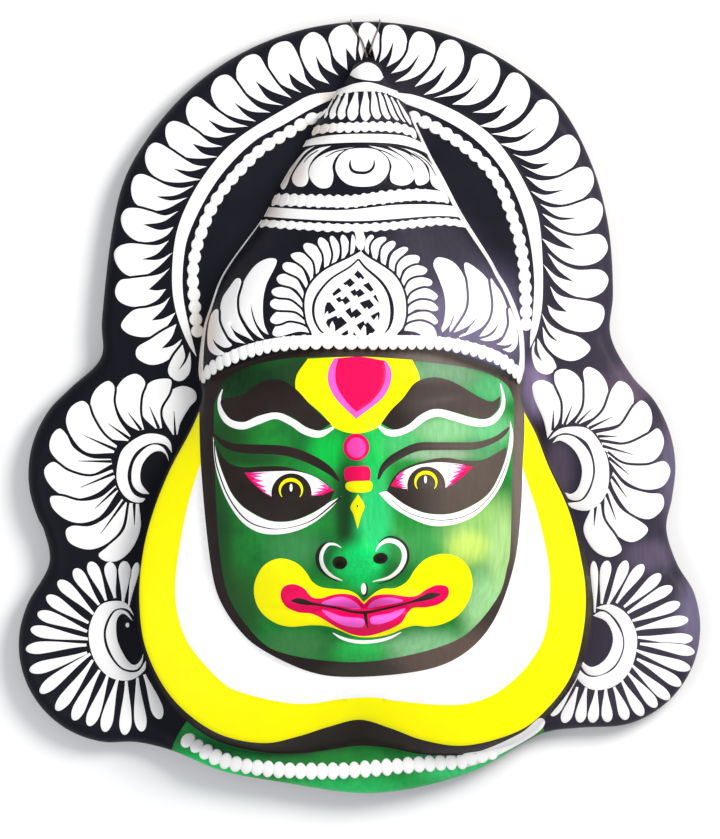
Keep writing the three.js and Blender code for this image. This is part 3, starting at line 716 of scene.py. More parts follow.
# Medallion: curved petals round an ogee ring with a lattice inside; each petal starts and ends at its root.
medallionPetals = [
    [(622, 667), (600, 664), (554, 674), (546, 669), (555, 651), (596, 647), (619, 659)],
    [(618, 654), (606, 647), (578, 642), (564, 647), (551, 649), (541, 642), (554, 625), (580, 624),
     (604, 636), (614, 645)],
    [(613, 639), (592, 624), (550, 619), (541, 611), (543, 603), (554, 598), (580, 602), (601, 618),
     (608, 630)],
    [(610, 620), (583, 599), (556, 595), (546, 590), (544, 583), (552, 577), (576, 577), (598, 595),
     (605, 607)],
    [(610, 604), (594, 582), (582, 575), (559, 568), (554, 559), (558, 552), (570, 549), (593, 559),
     (607, 583)],
    [(614, 580), (599, 558), (568, 541), (566, 531), (573, 526), (596, 531), (606, 541), (616, 567)],
    [(621, 566), (620, 556), (607, 535), (587, 520), (582, 511), (600, 506), (622, 520), (627, 532),
     (626, 558)],
    [(633, 553), (628, 524), (611, 504), (607, 494), (611, 488), (630, 492), (644, 512), (637, 549)],
    [(649, 539), (647, 510), (636, 487), (639, 477), (647, 478), (661, 494), (664, 506), (660, 528),
     (656, 535)],
    [(662, 534), (667, 511), (660, 477), (664, 473), (677, 488), (678, 513), (667, 532)],
    [(682, 524), (684, 510), (683, 492), (681, 479), (685, 471), (691, 474), (699, 494), (686, 523)],
    [(700, 516), (705, 470), (711, 482), (708, 505), (704, 514)],
    [(737, 511), (730, 502), (734, 478), (743, 471), (748, 476), (743, 486), (738, 504)],
    [(746, 519), (742, 494), (753, 479), (771, 476), (772, 482), (764, 489), (753, 521)],
    [(764, 531), (761, 519), (764, 497), (781, 484), (788, 484), (791, 488), (788, 496), (776, 510),
     (770, 537)],
    [(779, 542), (778, 529), (785, 508), (804, 496), (813, 496), (816, 500), (793, 524), (789, 534),
     (788, 544), (783, 546)],
    [(793, 554), (795, 530), (811, 514), (833, 512), (839, 517), (834, 529), (822, 532), (810, 537),
     (803, 545), (801, 555), (797, 560)],
    [(804, 569), (803, 561), (813, 541), (834, 532), (852, 538), (854, 542), (849, 549), (823, 556),
     (815, 562), (810, 571), (806, 573)],
    [(811, 595), (809, 584), (819, 563), (841, 556), (861, 561), (864, 566), (861, 572), (840, 576),
     (820, 587), (815, 597)],
    [(813, 609), (822, 589), (846, 578), (859, 580), (875, 594), (863, 604), (852, 600), (839, 599),
     (827, 603), (814, 612)],
    [(814, 632), (814, 622), (819, 612), (839, 602), (865, 606), (876, 619), (871, 623), (832, 620),
     (823, 625)],
    [(812, 648), (813, 638), (834, 626), (860, 627), (875, 645), (869, 650), (834, 642), (822, 644)],
    [(808, 662), (810, 655), (819, 648), (842, 644), (866, 655), (872, 676), (856, 676), (830, 665),
     (818, 663)],
]
medallionGap = 9.2  # dark line round each petal and round the ogee
for points in medallionPetals:
    paintOn("night", "crown", stroke(*[(x, y, medallionGap) for x, y in points]), 0)
    paintOn("white", "crown", outline(points, [points[-1], points[0]]))
paintOn("white", "crown", outline(
    [(708, 460), (712, 479), (711, 490), (718, 502), (719, 508)],
    [(718.8, 508), (725.2, 506.4)],
    [(725, 506), (731, 480), (727, 467), (728, 460)],
    [(728, 460), (708, 460)]))
ogee = [
    [(722, 504), (703, 515), (644, 546), (618, 576), (610, 603), (614, 644), (624, 668), (624, 680)],
    [(624, 680), (792, 680)],
    [(792, 680), (794, 669), (804, 657), (811, 632), (809, 593), (799, 567), (782, 546), (730, 512),
     (722, 504)],
]
for side in (ogee[0], ogee[2]):
    paintOn("night", "crown", stroke(*[(x, y, medallionGap) for x, y in side]), 0)
paintOn("white", "crown", outline(*ogee))
ogeeLines = [
    [(717, 520, 3.6), (700, 535, 3.8), (660, 561, 4.2), (633, 595, 5.2), (627, 618, 5.6), (630, 642, 4.8),
     (641, 662, 4), (647, 667, 3.2)],
    [(717, 520, 4), (730, 536, 4.6), (761, 564, 5.6), (776, 587, 6), (783, 612, 7.6), (783, 637, 7),
     (777, 657, 4.4), (769, 667, 1.6)],
]
paintStrokes("night", "crown", ogeeLines, 0)
lattice = [  # dark squares between the white strands
    [(715.4, 541.8), (722, 548), (729, 557.4), (724.8, 560.6), (721, 555.8), (718, 559.8), (708, 550.4)],
    [(700.2, 557.4), (710.4, 567.6), (699.4, 576.2), (694, 570.6), (691, 572.2), (686.2, 568.4)],
    [(677.6, 576.2), (684, 583.2), (667.6, 594), (664.4, 588.6)],
    [(671.4, 598.8), (680.8, 594), (682.4, 599.6), (686.2, 599.2), (692.4, 593.2), (701, 603.4),
     (690.2, 611.2), (685, 603.2), (677.6, 606.6)],
    [(654.2, 605.8), (660.6, 605.8), (672.2, 621.4), (657.4, 630), (655.8, 623), (648.8, 630.8),
     (650.4, 615.2)],
    [(700.2, 584.6), (709.6, 579.2), (713.2, 584), (720.2, 578.4), (730.2, 588.6), (717, 596.4),
     (713.6, 591.2), (708, 594)],
    [(690.2, 623), (701, 615.2), (703.4, 626), (713.4, 618.2), (724, 629.2), (710.6, 638.6), (708.8, 633.8),
     (702.6, 637.8)],
    [(655, 640), (673, 632.2), (676, 637.8), (682.4, 633.8), (694.8, 647), (670.6, 664.2), (669.8, 652.6),
     (665.2, 642.8), (661.2, 649.4), (659, 658), (652, 647)],
    [(712.6, 651), (727.2, 642.4), (730.2, 649.4), (735.8, 644.8), (750.6, 662), (745.2, 667.4),
     (739.6, 667.4), (732.6, 676), (731.8, 655.2), (728, 651), (721, 662.8)],
    [(695.6, 660.4), (697.2, 669), (687.8, 673.6), (682.4, 669)],
    [(707.4, 664.2), (713.8, 672.8), (710.4, 677.6), (705.8, 672)],
    [(725.6, 571.4), (737.4, 566), (747.4, 580.8), (741.2, 585.4)],
    [(745.8, 594), (751.4, 590.2), (758.4, 607.4), (754, 604)],
    [(718.6, 606.6), (738.8, 599.6), (748.2, 612), (737.4, 620.6), (734.4, 615.2), (729.6, 619.8)],
    [(740.4, 633), (757.6, 623.8), (759.6, 629.2), (757.6, 644.8), (754.8, 631.2), (747.4, 641.6)],
]
for points in lattice:
    paintOn("night", "crown", cornered(points), 0)

# Leaves at the crown's sides, from the middle outwards, as forked petals.
crownLeaves = [
    (((528, 665), (514, 647), (506, 624), (502, 608), (504, 626), (510, 647), (519, 664)), (530, 680),
     (516, 673), (497, 654), (478, 614), (480, 583), (511, 532), (538, 518), (554, 521), (533, 572),
     (527, 604), (529, 648), (538, 670)),
    (((494, 675), (479, 668), (469, 661), (461, 650), (466, 661), (472, 672), (481, 680)), (492, 688),
     (470, 683), (450, 664), (441, 641), (445, 598), (459, 576), (473, 558), (479, 557), (483, 562),
     (475, 597), (477, 628), (491, 657), (509, 683)),
    (((450, 696), (440, 691), (432, 685), (426, 677), (430, 688), (437, 697), (445, 703)), (455, 709),
     (434, 711), (418, 698), (422, 631), (434, 618), (437, 620), (439, 645), (456, 680), (465, 691),
     (460, 695)),
    (((899, 655), (904, 644), (909, 628), (903, 639), (898, 651)), (884, 666), (882, 658), (886, 647),
     (890, 617), (887, 588), (876, 556), (866, 529), (873, 517), (893, 519), (912, 531), (930, 563),
     (930, 616), (909, 654), (898, 666)),
    (((920, 671), (931, 666), (939, 655), (948, 644), (955, 632), (947, 642), (938, 651), (926, 658),
      (915, 663)), (906, 666), (935, 616), (934, 560), (930, 547), (928, 528), (932, 526), (976, 562),
     (985, 614), (967, 651), (942, 667), (916, 676)),
    (((964, 678), (976, 674), (987, 666), (998, 645), (989, 657), (980, 666), (969, 672)), (957, 674),
     (981, 638), (986, 611), (981, 557), (992, 572), (1000, 582), (1016, 628), (1013, 661), (995, 678),
     (973, 683), (959, 680)),
    (((1013, 697), (1019, 694), (1024, 687), (1013, 691), (1001, 691)), (991, 689), (1001, 684),
     (1017, 651), (1016, 619), (1018, 616), (1032, 651), (1033, 692), (1019, 705), (1003, 699)),
]
paintForked("crown", crownLeaves)
for zone, points in rowStrips:
    paintOn("white", zone, stroke(*points))
crownEdges = [  # white lines down the crown's edges
    [(524, 440, 2.2), (445, 553, 3.2), (422, 616, 4.4), (410, 655, 5.6), (402, 740, 9.6), (404, 760, 8.8),
     (404, 776, 2.4)],
    [(824, 236, 4), (860, 314, 6), (882, 354, 6.8), (918, 426, 9.2), (981, 525, 7.2), (994, 550, 8),
     (1009, 575, 9.2), (1029, 621, 10.4), (1041, 666, 10.8), (1044, 716, 10.4), (1042, 738, 13.2),
     (1037, 760, 10)],
]
for points in crownEdges:
    for zone in ("crown", "board"):
        paintOn("white", zone, stroke(*points))

# Collar, from its dark foot inwards: yellow, white, the dark border and the green face.
paintOn("dark", "face", footLine, 0)
paintOn("yellow", "face", edgeLine, 0)
paintOn("white", "face", outline(
    [(403, 924), (377, 1008), (352, 1156), (354, 1214), (366, 1260), (386, 1298), (453, 1369), (480, 1382),
     (575, 1404), (626, 1405), (677, 1397), (748, 1393), (794, 1400), (892, 1408), (941, 1404), (989, 1386),
     (1033, 1352), (1066, 1313), (1089, 1265), (1098, 1150), (1072, 1020), (1058, 978), (1043, 930)],
    [(1043, 930), (1000, 840), (450, 840), (403, 924)]), 0.15)
paintOn("dark", "face", outline(
    [(398, 744), (403, 932), (430, 1167), (447, 1211), (476, 1254), (512, 1289), (621, 1342), (701, 1352),
     (873, 1332), (942, 1294), (988, 1237), (1027, 1128), (1041, 1012), (1044, 934), (1048, 858),
     (1046, 744)],
    [(1046, 744), (960, 660), (720, 640), (480, 660), (398, 744)]), 0)
paintOn("green", "face", outline(
    [(429, 808), (429, 876), (439, 1086), (451, 1167), (468, 1211), (529, 1286), (570, 1305), (701, 1322),
     (808, 1310), (908, 1280), (946, 1254), (999, 1184), (1013, 1134), (1018, 1112), (1023, 932),
     (1027, 840), (1027, 800)],
    [(1027, 800), (1015, 773), (985, 752), (934, 736), (720, 716), (564, 719), (476, 743), (446, 768),
     (429, 808)]), 0)

# White band under the neck's beads; its right end runs up over the collar's side.
neckBand = [
    (368, 1474, 16), (432, 1514, 18.8), (470, 1527, 19.2), (568, 1540, 19.2), (684, 1541, 19.2),
    (932, 1520, 16),
]
paintOn("white", "board", stroke(*neckBand))
neckBandEnd = [
    (924, 1510), (965, 1500), (1044, 1463), (1080, 1435), (1090, 1442), (1082, 1460), (960, 1526),
    (928, 1532),
]
for zone in ("face", "board"):
    paintOn("white", zone, outline(neckBandEnd))

# Forehead mark.
paintOn("yellow", "face", outline(
    [(616, 718), (593, 754), (594, 784), (616, 804), (644, 828), (666, 854)],
    [(666, 854), (690, 864), (714, 867), (736, 863), (758, 854)],
    [(758, 854), (780, 824), (836, 772), (838, 752), (824, 720)],
    [(824, 720), (720, 714), (616, 718)]))
paintOn("palePink", "face", outline(
    [(712, 838), (668, 792), (656, 760), (659, 736), (669, 717)],
    [(669, 717), (720, 715), (771, 722)],
    [(771, 722), (781, 738), (782, 760), (768, 792), (712, 838)]), 0.15)
paintOn("crimson", "face", outline(
    [(713, 824), (692, 802), (674, 772), (671, 744), (677, 717)],
    [(677, 717), (720, 714), (768, 722)],
    [(768, 722), (771, 744), (766, 772), (744, 802), (713, 824)]))
paintOn("crimson", "face", oval(712.8, 894, 26, 26.8), 0.5)
paintOn("pink", "face", oval(712.8, 894.8, 18.8, 20))
paintOn("crimson", "face", outline(
    [(689, 940), (694, 934), (714, 932), (734, 932), (740, 938), (738, 961), (714, 962), (693, 961),
     (689, 952)]))
paintOn("yellow", "face", outline(
    [(692, 966), (702, 962), (724, 961), (742, 962), (745, 972), (740, 981), (704, 983), (692, 976)]), 0.5)
paintOn("yellow", "face", outline(
    [(716, 987), (701, 1013), (707, 1028), (715, 1056)],
    [(715, 1056), (723, 1028), (729, 1011), (716, 987)]))
paintOn("dark", "face", oval(714.8, 1010.8, 1.6, 2.4), 0)

# Brows with a white line under each.
browShapes = [
    ([(662, 847), (622, 810), (592, 778), (562, 760), (528, 762), (492, 786), (464, 795), (447, 796)],
     [(447, 796), (442, 802), (445, 816), (462, 838), (488, 844), (518, 832), (554, 825), (588, 836),
      (614, 854), (640, 860), (662, 847)]),
    ([(762, 847), (782, 820), (805, 797), (831, 765), (866, 755), (900, 762), (982, 803), (1000, 792)],
     [(1000, 792), (997, 812), (987, 828), (970, 838), (870, 818), (840, 830), (814, 851), (788, 859),
      (762, 847)]),
]
browLines = [
    [(446, 779, 2), (440, 797, 6), (443, 821, 11.2), (458, 842, 15.2), (484, 850, 18), (516, 841, 16),
     (552, 831, 14), (584, 844, 14), (612, 862, 14.8), (640, 868, 13.2), (668, 855, 4.8)],
    [(1000, 767, 2), (1006, 798, 7), (1002, 820, 10), (984, 840.6, 14), (964, 846, 14.8), (940, 843, 16),
     (905, 832.8, 16), (874, 825.6, 16), (848, 833, 16.8), (820, 853, 17.2), (790, 866, 14),
     (772, 863.6, 12), (757, 852, 6)],
]
paintStrokes("white", "face", browLines)
paintShapes("dark", "face", browShapes, 0.15)

# Eyes: crease, dark patch with a white edge, white of the eye, iris and glint.
creases = [
    [(429, 868, 3.2), (444, 883, 10.8), (464, 893, 14.8), (492, 897, 18), (568, 901, 19.2),
     (608, 912, 19.2), (656, 938, 15.2), (679, 961, 4)],
    [(756, 958, 4), (764, 938, 11), (778, 922.6, 14.8), (797, 910, 16), (833, 894, 16.4), (878, 892, 15.6),
     (928, 892, 15.2), (950, 891, 14.4), (977, 883.6, 12), (997, 874, 10.4), (1009, 864, 8.8),
     (1018, 854, 3.2)],
]
paintStrokes("dark", "face", creases, 0.15)
whiteRims = [
    ([(427, 872), (430, 919), (440, 963), (461, 1010), (489, 1046), (521, 1064), (560, 1067), (600, 1058),
      (631, 1042), (659, 1019), (683, 992)], [(683, 992), (660, 1003), (624, 1026), (582, 1041),
      (539, 1040), (499, 1021), (482, 1008), (465, 987), (452, 960), (438, 921), (427, 872)]),
    ([(1019, 840), (1025, 864), (1024, 894), (1008, 954), (989, 989), (956, 1025), (928, 1041), (892, 1050),
      (853, 1048), (786, 1014), (757, 985)], [(757, 985), (774, 982), (809, 1008), (851, 1025), (901, 1026),
      (949, 1007), (977, 985), (996, 953), (1011, 913), (1018, 874), (1019, 840)]),
]
paintShapes("white", "face", whiteRims)
rimLines = [
    [(429.2, 882, 1.8), (432.4, 920, 2.6), (437.6, 941, 2.6), (453, 982, 2.6), (469, 1010, 2.8),
     (487, 1032, 2.8), (506, 1046, 2.4), (542, 1056, 1.8), (564, 1056, 1), (588, 1052, 1.4),
     (612, 1045, 1.8), (633, 1034, 2.4), (665, 1008, 3.2), (682, 993, 4)],
    [(1015, 916, 1), (1007, 940, 1.4), (988, 979, 1.4), (960, 1012, 1.4), (928, 1031, 1.4),
     (884, 1039, 1.6), (845, 1034, 1.4), (809, 1020, 1.2), (782, 998, 1)],
]
paintStrokes("dark", "face", rimLines, 0)
eyePatches = [
    ([(435, 890), (444, 910), (462, 927), (489, 934), (529, 932), (576, 934), (647, 961), (669, 982)],
     [(669, 982), (659, 1002), (623, 1025.4), (582, 1040), (539, 1039.2), (500, 1020.4), (482.6, 1007.2),
      (465.6, 986), (452.6, 959), (439.6, 920), (435, 890)]),
    ([(773, 981), (786, 955), (809, 935), (884, 915), (932, 921), (964, 919), (1012, 894)], [(1012, 894),
      (1010, 913), (995.4, 952.6), (976.4, 984.4), (948.6, 1006.4), (901, 1025.4), (851, 1024.4),
      (809, 1007.4), (773, 981)]),
]
paintShapes("dark", "face", eyePatches, 0.15)
eyeWhites = [
    ([(491, 946), (517, 943.6), (560, 941.6), (596, 942.4), (630, 953), (654, 969), (664, 979)],
     [(664, 979), (647, 986), (624, 989), (584, 998), (548, 993), (525, 979), (491, 946)]),
    ([(782, 971), (797, 948), (829, 931.2), (850, 926.4), (876, 924), (920, 928), (943, 934)], [(943, 933),
      (924, 951), (904, 965), (890, 975), (852, 986), (813, 979), (797, 973), (782, 971)]),
]
paintShapes("eyeWhite", "face", eyeWhites)
eyeCorners = [  # ragged pink that runs in from the corners, then a redder one inside it
    ("pink", [(490, 944.8), (536, 944.4), (512, 949.2), (525.6, 951.6), (509, 954.8), (529, 961.6),
      (514, 964), (532.8, 973.2), (522, 974), (536, 981.6), (528.8, 983.2), (542, 988.8), (539, 991.2),
      (548, 995.2), (524, 981.2), (504, 962.8)]),
    ("crimson", [(490, 944.8), (512, 946.8), (501, 950.8), (514, 957.2), (506, 960), (520, 970), (515, 972),
      (527, 980), (525, 982), (540, 990.8), (524, 981.6), (504, 963.2)]),
    ("pink", [(666.8, 980), (652, 968), (634, 956.4), (649, 969.2), (639, 968.4), (650, 974.8),
      (632.8, 975.6), (646, 979.6), (625.6, 983.6), (638, 985.2), (621, 990.8), (644, 989.2)]),
    ("crimson", [(666.8, 980), (654, 972), (658, 977.2), (644, 977.2), (654, 980.8), (637.2, 983.2),
      (650, 984), (633, 989.2), (644, 989.6)]),
    ("pink", [(780.4, 970.8), (788, 959.2), (798.8, 945.6), (812, 936.8), (804, 947.2), (810, 946.8),
      (800.8, 954), (808, 955.6), (798, 960), (808, 964), (798, 965.2), (811.2, 970), (802, 970.8),
      (816.8, 975.6), (800, 974.8)]),
    ("crimson", [(780.4, 970.8), (786.8, 960.8), (796, 949.2), (792.8, 958), (799.2, 959.2), (791.6, 964),
      (798.8, 966.8), (792, 968.4), (806, 974.8), (794, 974)]),
    ("pink", [(944.8, 932.8), (896, 925.6), (924, 932.8), (906, 935.2), (922, 938), (903, 945.2),
      (917, 944.8), (900, 955.2), (910, 953.6), (895, 964.8), (902, 963.2), (889.2, 975.2), (905, 967.2),
      (925.6, 951.6)]),
    ("crimson", [(944.8, 932.8), (922, 928.8), (932, 934.4), (918, 939.2), (928, 940), (912, 950),
      (919.2, 949.2), (900, 965.6), (906, 966.8), (925.6, 952)]),
]
for paint, points in eyeCorners:
    paintOn(paint, "face", cornered(points), 0.15)
lidLines = [
    [(488, 944, 2), (504, 965, 4), (524, 983, 4), (548, 997, 2)],
    [(620, 994, 2), (644, 991, 3.2), (669, 981, 2)],
    [(779, 970, 2), (796, 946, 2.4), (814, 936, 2)],
    [(779, 972, 2), (800, 977, 2.8), (817, 978, 2)],
    [(947, 932, 2), (927, 954, 3.2), (907, 970, 3.2), (888, 978, 2)],
]
paintStrokes("dark", "face", lidLines, 0)
# Irises: centre and radius, the yellow crescent's centre and radius, the glint's centre.
irises = [
    ((584, 986), 40, (582.8, 980), 25.2, (583, 974.4)),
    ((851.8, 970.4), 38, (850.8, 964.4), 24, (850, 958)),
]
crescent = {"from": -37, "to": 217, "points": 15, "inset": 3.0, "flat": 0.96, "tip": 1.4, "belly": 5.8}
glint = (3.0, 8.0)
for (x, y), radius, (cx, cy), reach, (gx, gy) in irises:
    paintOn("dark", "face", oval(x, y, radius, radius), 0.15)
    turns = np.radians(np.linspace(crescent["from"], crescent["to"], crescent["points"]))
    widths = crescent["tip"] + crescent["belly"] * np.sin(np.linspace(0, math.pi, crescent["points"]))
    middle = reach - crescent["inset"]
    xs, ys = cx + middle * np.cos(turns), cy - middle * np.sin(turns) * crescent["flat"]
    paintOn("yellow", "face", stroke(*zip(xs, ys, widths)))
    paintOn("eyeWhite", "face", oval(gx, gy, *glint))

# Nose: nostrils, white crescents with dark backs, a drop under the nose.
paintOn("dark", "face", oval(680, 1123.2, 14.8, 13.2), 0)
paintOn("dark", "face", oval(760.4, 1114.4, 14.8, 11.2, 8), 0)
wingLines = [
    ("dark", [(666, 1082, 1.6), (650, 1086, 4.8), (638, 1100, 6.8), (635, 1116, 7.2), (640, 1134, 6),
      (654, 1149, 4), (676, 1161, 1.6)]),
    ("white", [(683, 1093, 1.6), (671, 1087, 4.4), (657, 1087, 6), (647, 1098, 7.2), (643, 1114, 7.6),
      (648, 1133, 7.6), (663, 1149, 6), (685, 1159, 1.8)]),
    ("dark", [(758, 1083, 1.6), (774, 1072, 3.2), (794, 1075, 4), (811, 1090, 4.8), (816, 1113, 4.8),
      (805, 1138, 4), (782, 1157, 2.8), (756, 1166, 1.4)]),
    ("white", [(751, 1101, 1.8), (759, 1088, 5.2), (772, 1080, 8), (791, 1082, 9.2), (805, 1095, 9.6),
      (808, 1113, 9.6), (799, 1135, 8.8), (779, 1152, 6.4), (745, 1161, 1.8)]),
]
for paint, points in wingLines:
    paintOn(paint, "face", stroke(*points))
paintOn("dark", "face", oval(728.8, 1176.8, 7.2, 14), 0.1)
paintOn("white", "face", oval(727.2, 1175.2, 5.2, 11.6))

# Mouth.
paintOn("yellow", "face", outline(
    [(727, 1201), (714, 1187), (699, 1179), (643, 1172), (625, 1161), (612, 1141), (592, 1123), (560, 1115),
     (529, 1129), (510, 1166), (512, 1200), (525, 1224), (552, 1244), (580, 1251), (627, 1248), (659, 1251),
     (711, 1270), (746, 1272), (782, 1265), (805, 1255), (829, 1249), (853, 1251), (884, 1246), (916, 1228),
     (936, 1200), (944, 1168), (936, 1133), (912, 1111), (881, 1106), (849, 1117), (829, 1137), (813, 1161),
     (790, 1174), (762, 1176), (727, 1201)],
    [(726.8, 1201.2), (726.4, 1201.6)]), 0.15)
paintOn("crimson", "face", outline(
    [(728, 1206), (711, 1190), (687, 1185), (663, 1188), (643, 1194), (625, 1192), (608, 1174), (586, 1166),
     (568, 1172), (562, 1190), (572, 1210), (596, 1222), (627, 1226), (679, 1255), (707, 1267), (738, 1269),
     (801, 1244), (813, 1226), (825, 1214), (853, 1212), (881, 1204), (896, 1188), (894, 1172), (873, 1168),
     (853, 1176), (829, 1190), (774, 1186), (746, 1190), (728, 1206)],
    [(728.4, 1206), (728, 1206.4)]))
lipLights = [
    [(643, 1204), (662, 1195), (682, 1191), (703, 1197), (722, 1214), (704, 1215), (683, 1211)],
    [(735, 1213), (744, 1201), (760, 1194), (786, 1193), (806, 1199), (766, 1209)],
    [(644, 1217), (683, 1230), (728, 1237), (727, 1250), (695, 1250), (663, 1236)],
    [(741, 1233), (778, 1224), (811, 1214), (794, 1232), (758, 1246), (742, 1244)],
]
paintShapes("palePink", "face", [[points] for points in lipLights], 0.2)
paintOn("dark", "face", stroke(
    (583.2, 1200, 2), (594, 1199.2, 10), (608, 1201.6, 11.2), (623.6, 1204.8, 6), (644, 1208, 4),
    (667, 1212, 4.4), (702.6, 1220.6, 5.2), (730.2, 1222.4, 6), (765.8, 1216, 4.8), (805.4, 1206, 3.6),
    (826, 1200.4, 4.4), (845, 1194.8, 10), (860, 1189.6, 13.2), (874.8, 1187.2, 6), (880, 1186.8, 1.6)), 0)
paintOn("dark", "face", stroke((730.2, 1223, 8), (732, 1236, 6.4), (736.2, 1256, 1.2)), 0)
paintOn("white", "face", stroke(
    (666, 1263.2, 1.6), (680, 1272, 5.2), (700, 1278.8, 6.4), (726.4, 1281.6, 6.8), (760, 1278.4, 6.4),
    (784, 1271.2, 5.2), (802, 1262, 1.6)))
print("painted areas:", len(layers))


# Points inside a closed line.
def within(loop, points):
    hit = np.zeros(len(points), bool)
    near = np.flatnonzero(((points > loop.min(0)) & (points < loop.max(0))).all(1))
    if not len(near):
        return hit
    x, y = points[near].T
    odd = np.zeros(len(near), bool)
    for (ax, ay), (bx, by) in zip(loop, np.roll(loop, -1, 0)):
        if ay != by:
            odd ^= ((ay > y) != (by > y)) & (x < ax + (bx - ax) * (y - ay) / (by - ay))
    hit[near] = odd
    return hit


# Closed anticlockwise line moved inwards.
def moveIn(loop, gap):
    way = np.roll(loop, -1, 0) - np.roll(loop, 1, 0)
    way /= np.maximum(np.hypot(*way.T), 1e-9)[:, None]
    return loop + np.column_stack([-way[:, 1], way[:, 0]]) * gap


# The same closed line, anticlockwise.
def leftwards(loop):
    x, y = loop.T
    return loop if (x * np.roll(y, -1) - np.roll(x, -1) * y).sum() > 0 else loop[::-1]


def nearIndex(points):
    tree = kdtree.KDTree(len(points))
    for i, (x, y) in enumerate(points):
        tree.insert((x, y, 0), i)
    tree.balance()
    return tree


def farFrom(tree, points, gap):
    return points[np.array([tree.find((x, y, 0))[2] >= gap for x, y in points], bool)]


# Triangles of a flat region: outer line, other lines to keep as edges, loose points, and a hole.
def triangulate(outer, lines, loose, hole):
    points, edges = [], []
    for loop, closed in [(outer, True), (hole, True), *lines]:
        first = len(points)
        points.extend(loop)
        count = len(loop)
        edges.extend((first + i, first + (i + 1) % count) for i in range(count if closed else count - 1))
    points.extend(loose)
    result = delaunay_2d_cdt([Vector(p) for p in points], edges, [], 0, 0.01)
    flat = np.array([tuple(p) for p in result[0]])
    corners = np.array([f for f in result[2] if len(f) == 3])
    a, b, c = flat[corners[:, 0]], flat[corners[:, 1]], flat[corners[:, 2]]
    area = (b[:, 0] - a[:, 0]) * (c[:, 1] - a[:, 1]) - (b[:, 1] - a[:, 1]) * (c[:, 0] - a[:, 0])
    corners[area < 0] = corners[area < 0][:, ::-1]
    middle = (a + b + c) / 3
    keep = within(outer, middle) & ~within(hole, middle) & (np.abs(area) > 1e-7)
    corners = corners[keep]
    used = np.unique(corners)
    place = np.full(len(flat), -1)
    place[used] = np.arange(len(used))
    return flat[used], place[corners]


# Loops of open edges, each walked with the region on its left.
def openLoops(corners):
    edges = np.vstack([corners[:, [0, 1]], corners[:, [1, 2]], corners[:, [2, 0]]])
    seen = {(a, b) for a, b in edges.tolist()}
    following = {a: b for a, b in seen if (b, a) not in seen}
    loops = []
    while following:
        start = next(iter(following))
        loop = [start]
        at = following.pop(start)
        while at != start:
            loop.append(at)
            at = following.pop(at)
        loops.append(loop)
    return sorted(loops, key=len, reverse=True)


def gridPoints(low, high, gap):
    xs = np.arange(low[0], high[0], gap)
    ys = np.arange(low[1], high[1], gap * 0.866)
    x, y = np.meshgrid(xs, ys)
    x = x + (np.arange(len(ys)) % 2)[:, None] * gap / 2
    return np.column_stack([x.ravel(), y.ravel()])


skin = {
    "boardGrid": 3.4,  # spacing of the mesh in millimetres, by area
    "figureGrid": 2.6,
    "faceGrid": 1.6,
    "backGrid": 6.0,
    "paintInset": 0.45,  # how far inside its outline the paint reaches full thickness
    "outlineStep": 1.2,
    "edgeRings": (0.35, 1.1, 2.3, 4.0, 6.2),  # extra rows of points inside the board's edge
    "figureRings": (0.3, 0.9, 1.8, 3.0),  # inside the figure's edge
    "footRings": (0.8, 2.0),  # outside its foot
    "browRings": (-3.0, -1.5, 1.5, 3.0),  # beside the crown's lower edge
    "browSpan": (-100, 103),  # that edge from side to side, its spacing, its least distance from the foot
    "browStep": 1.5,
    "browClear": 0.4,
    "nearest": 0.36,  # points nearer than this to an outline are left out
    "nearestRing": 0.28,
    "sidePaint": 4.0,  # height down to which the side has the board's paint
    "backJoin": 1.0,  # how far inside the rim the back begins
}
finePatch = {"y": -60, "half": 94, "up": 112}  # oval round the face that gets the finest mesh
holeLoop = np.array(arc(*mould["hole"], mould["holeRadius"], 0, 360, 20)[:-1])
outerLoop = leftwards(smoothLine(boardPoints, True, skin["outlineStep"]))
footLoop, edgeLoop = leftwards(footLine), leftwards(edgeLine)
browX = np.arange(*skin["browSpan"], skin["browStep"])
browLoop = np.column_stack([browX, browAt(browX)])
browLoop = browLoop[signedGap(footLoop, browLoop) > skin["browClear"]]

lines = [(footLoop, True), (edgeLoop, True), (browLoop, False)]
for layer in layers:
    if layer["loop"] is not footLine and layer["loop"] is not edgeLine:
        lines.append((layer["loop"], True))
inner = [moveIn(leftwards(layer["loop"]), skin["paintInset"]) for layer in layers if layer["rise"] > 0]
rings = [moveIn(outerLoop, gap) for gap in skin["edgeRings"]]
rings += [moveIn(edgeLoop, gap) for gap in skin["figureRings"]]
rings += [moveIn(footLoop, -gap) for gap in skin["footRings"]]
rings += [browLoop + [0, gap] for gap in skin["browRings"]]
fixed = np.vstack([outerLoop, holeLoop] + [loop for loop, _ in lines])
fixedIndex = nearIndex(fixed)
close = farFrom(fixedIndex, np.vstack(inner), skin["nearest"])
ringPoints = farFrom(fixedIndex, np.vstack(rings), skin["nearestRing"])
allFixed = nearIndex(np.vstack([fixed, close, ringPoints]))
low, high = outerLoop.min(0), outerLoop.max(0)


def onFace(points):
    across = (points[:, 0] - face["x"]) / finePatch["half"]
    return np.hypot(across, (points[:, 1] - finePatch["y"]) / finePatch["up"]) < 1


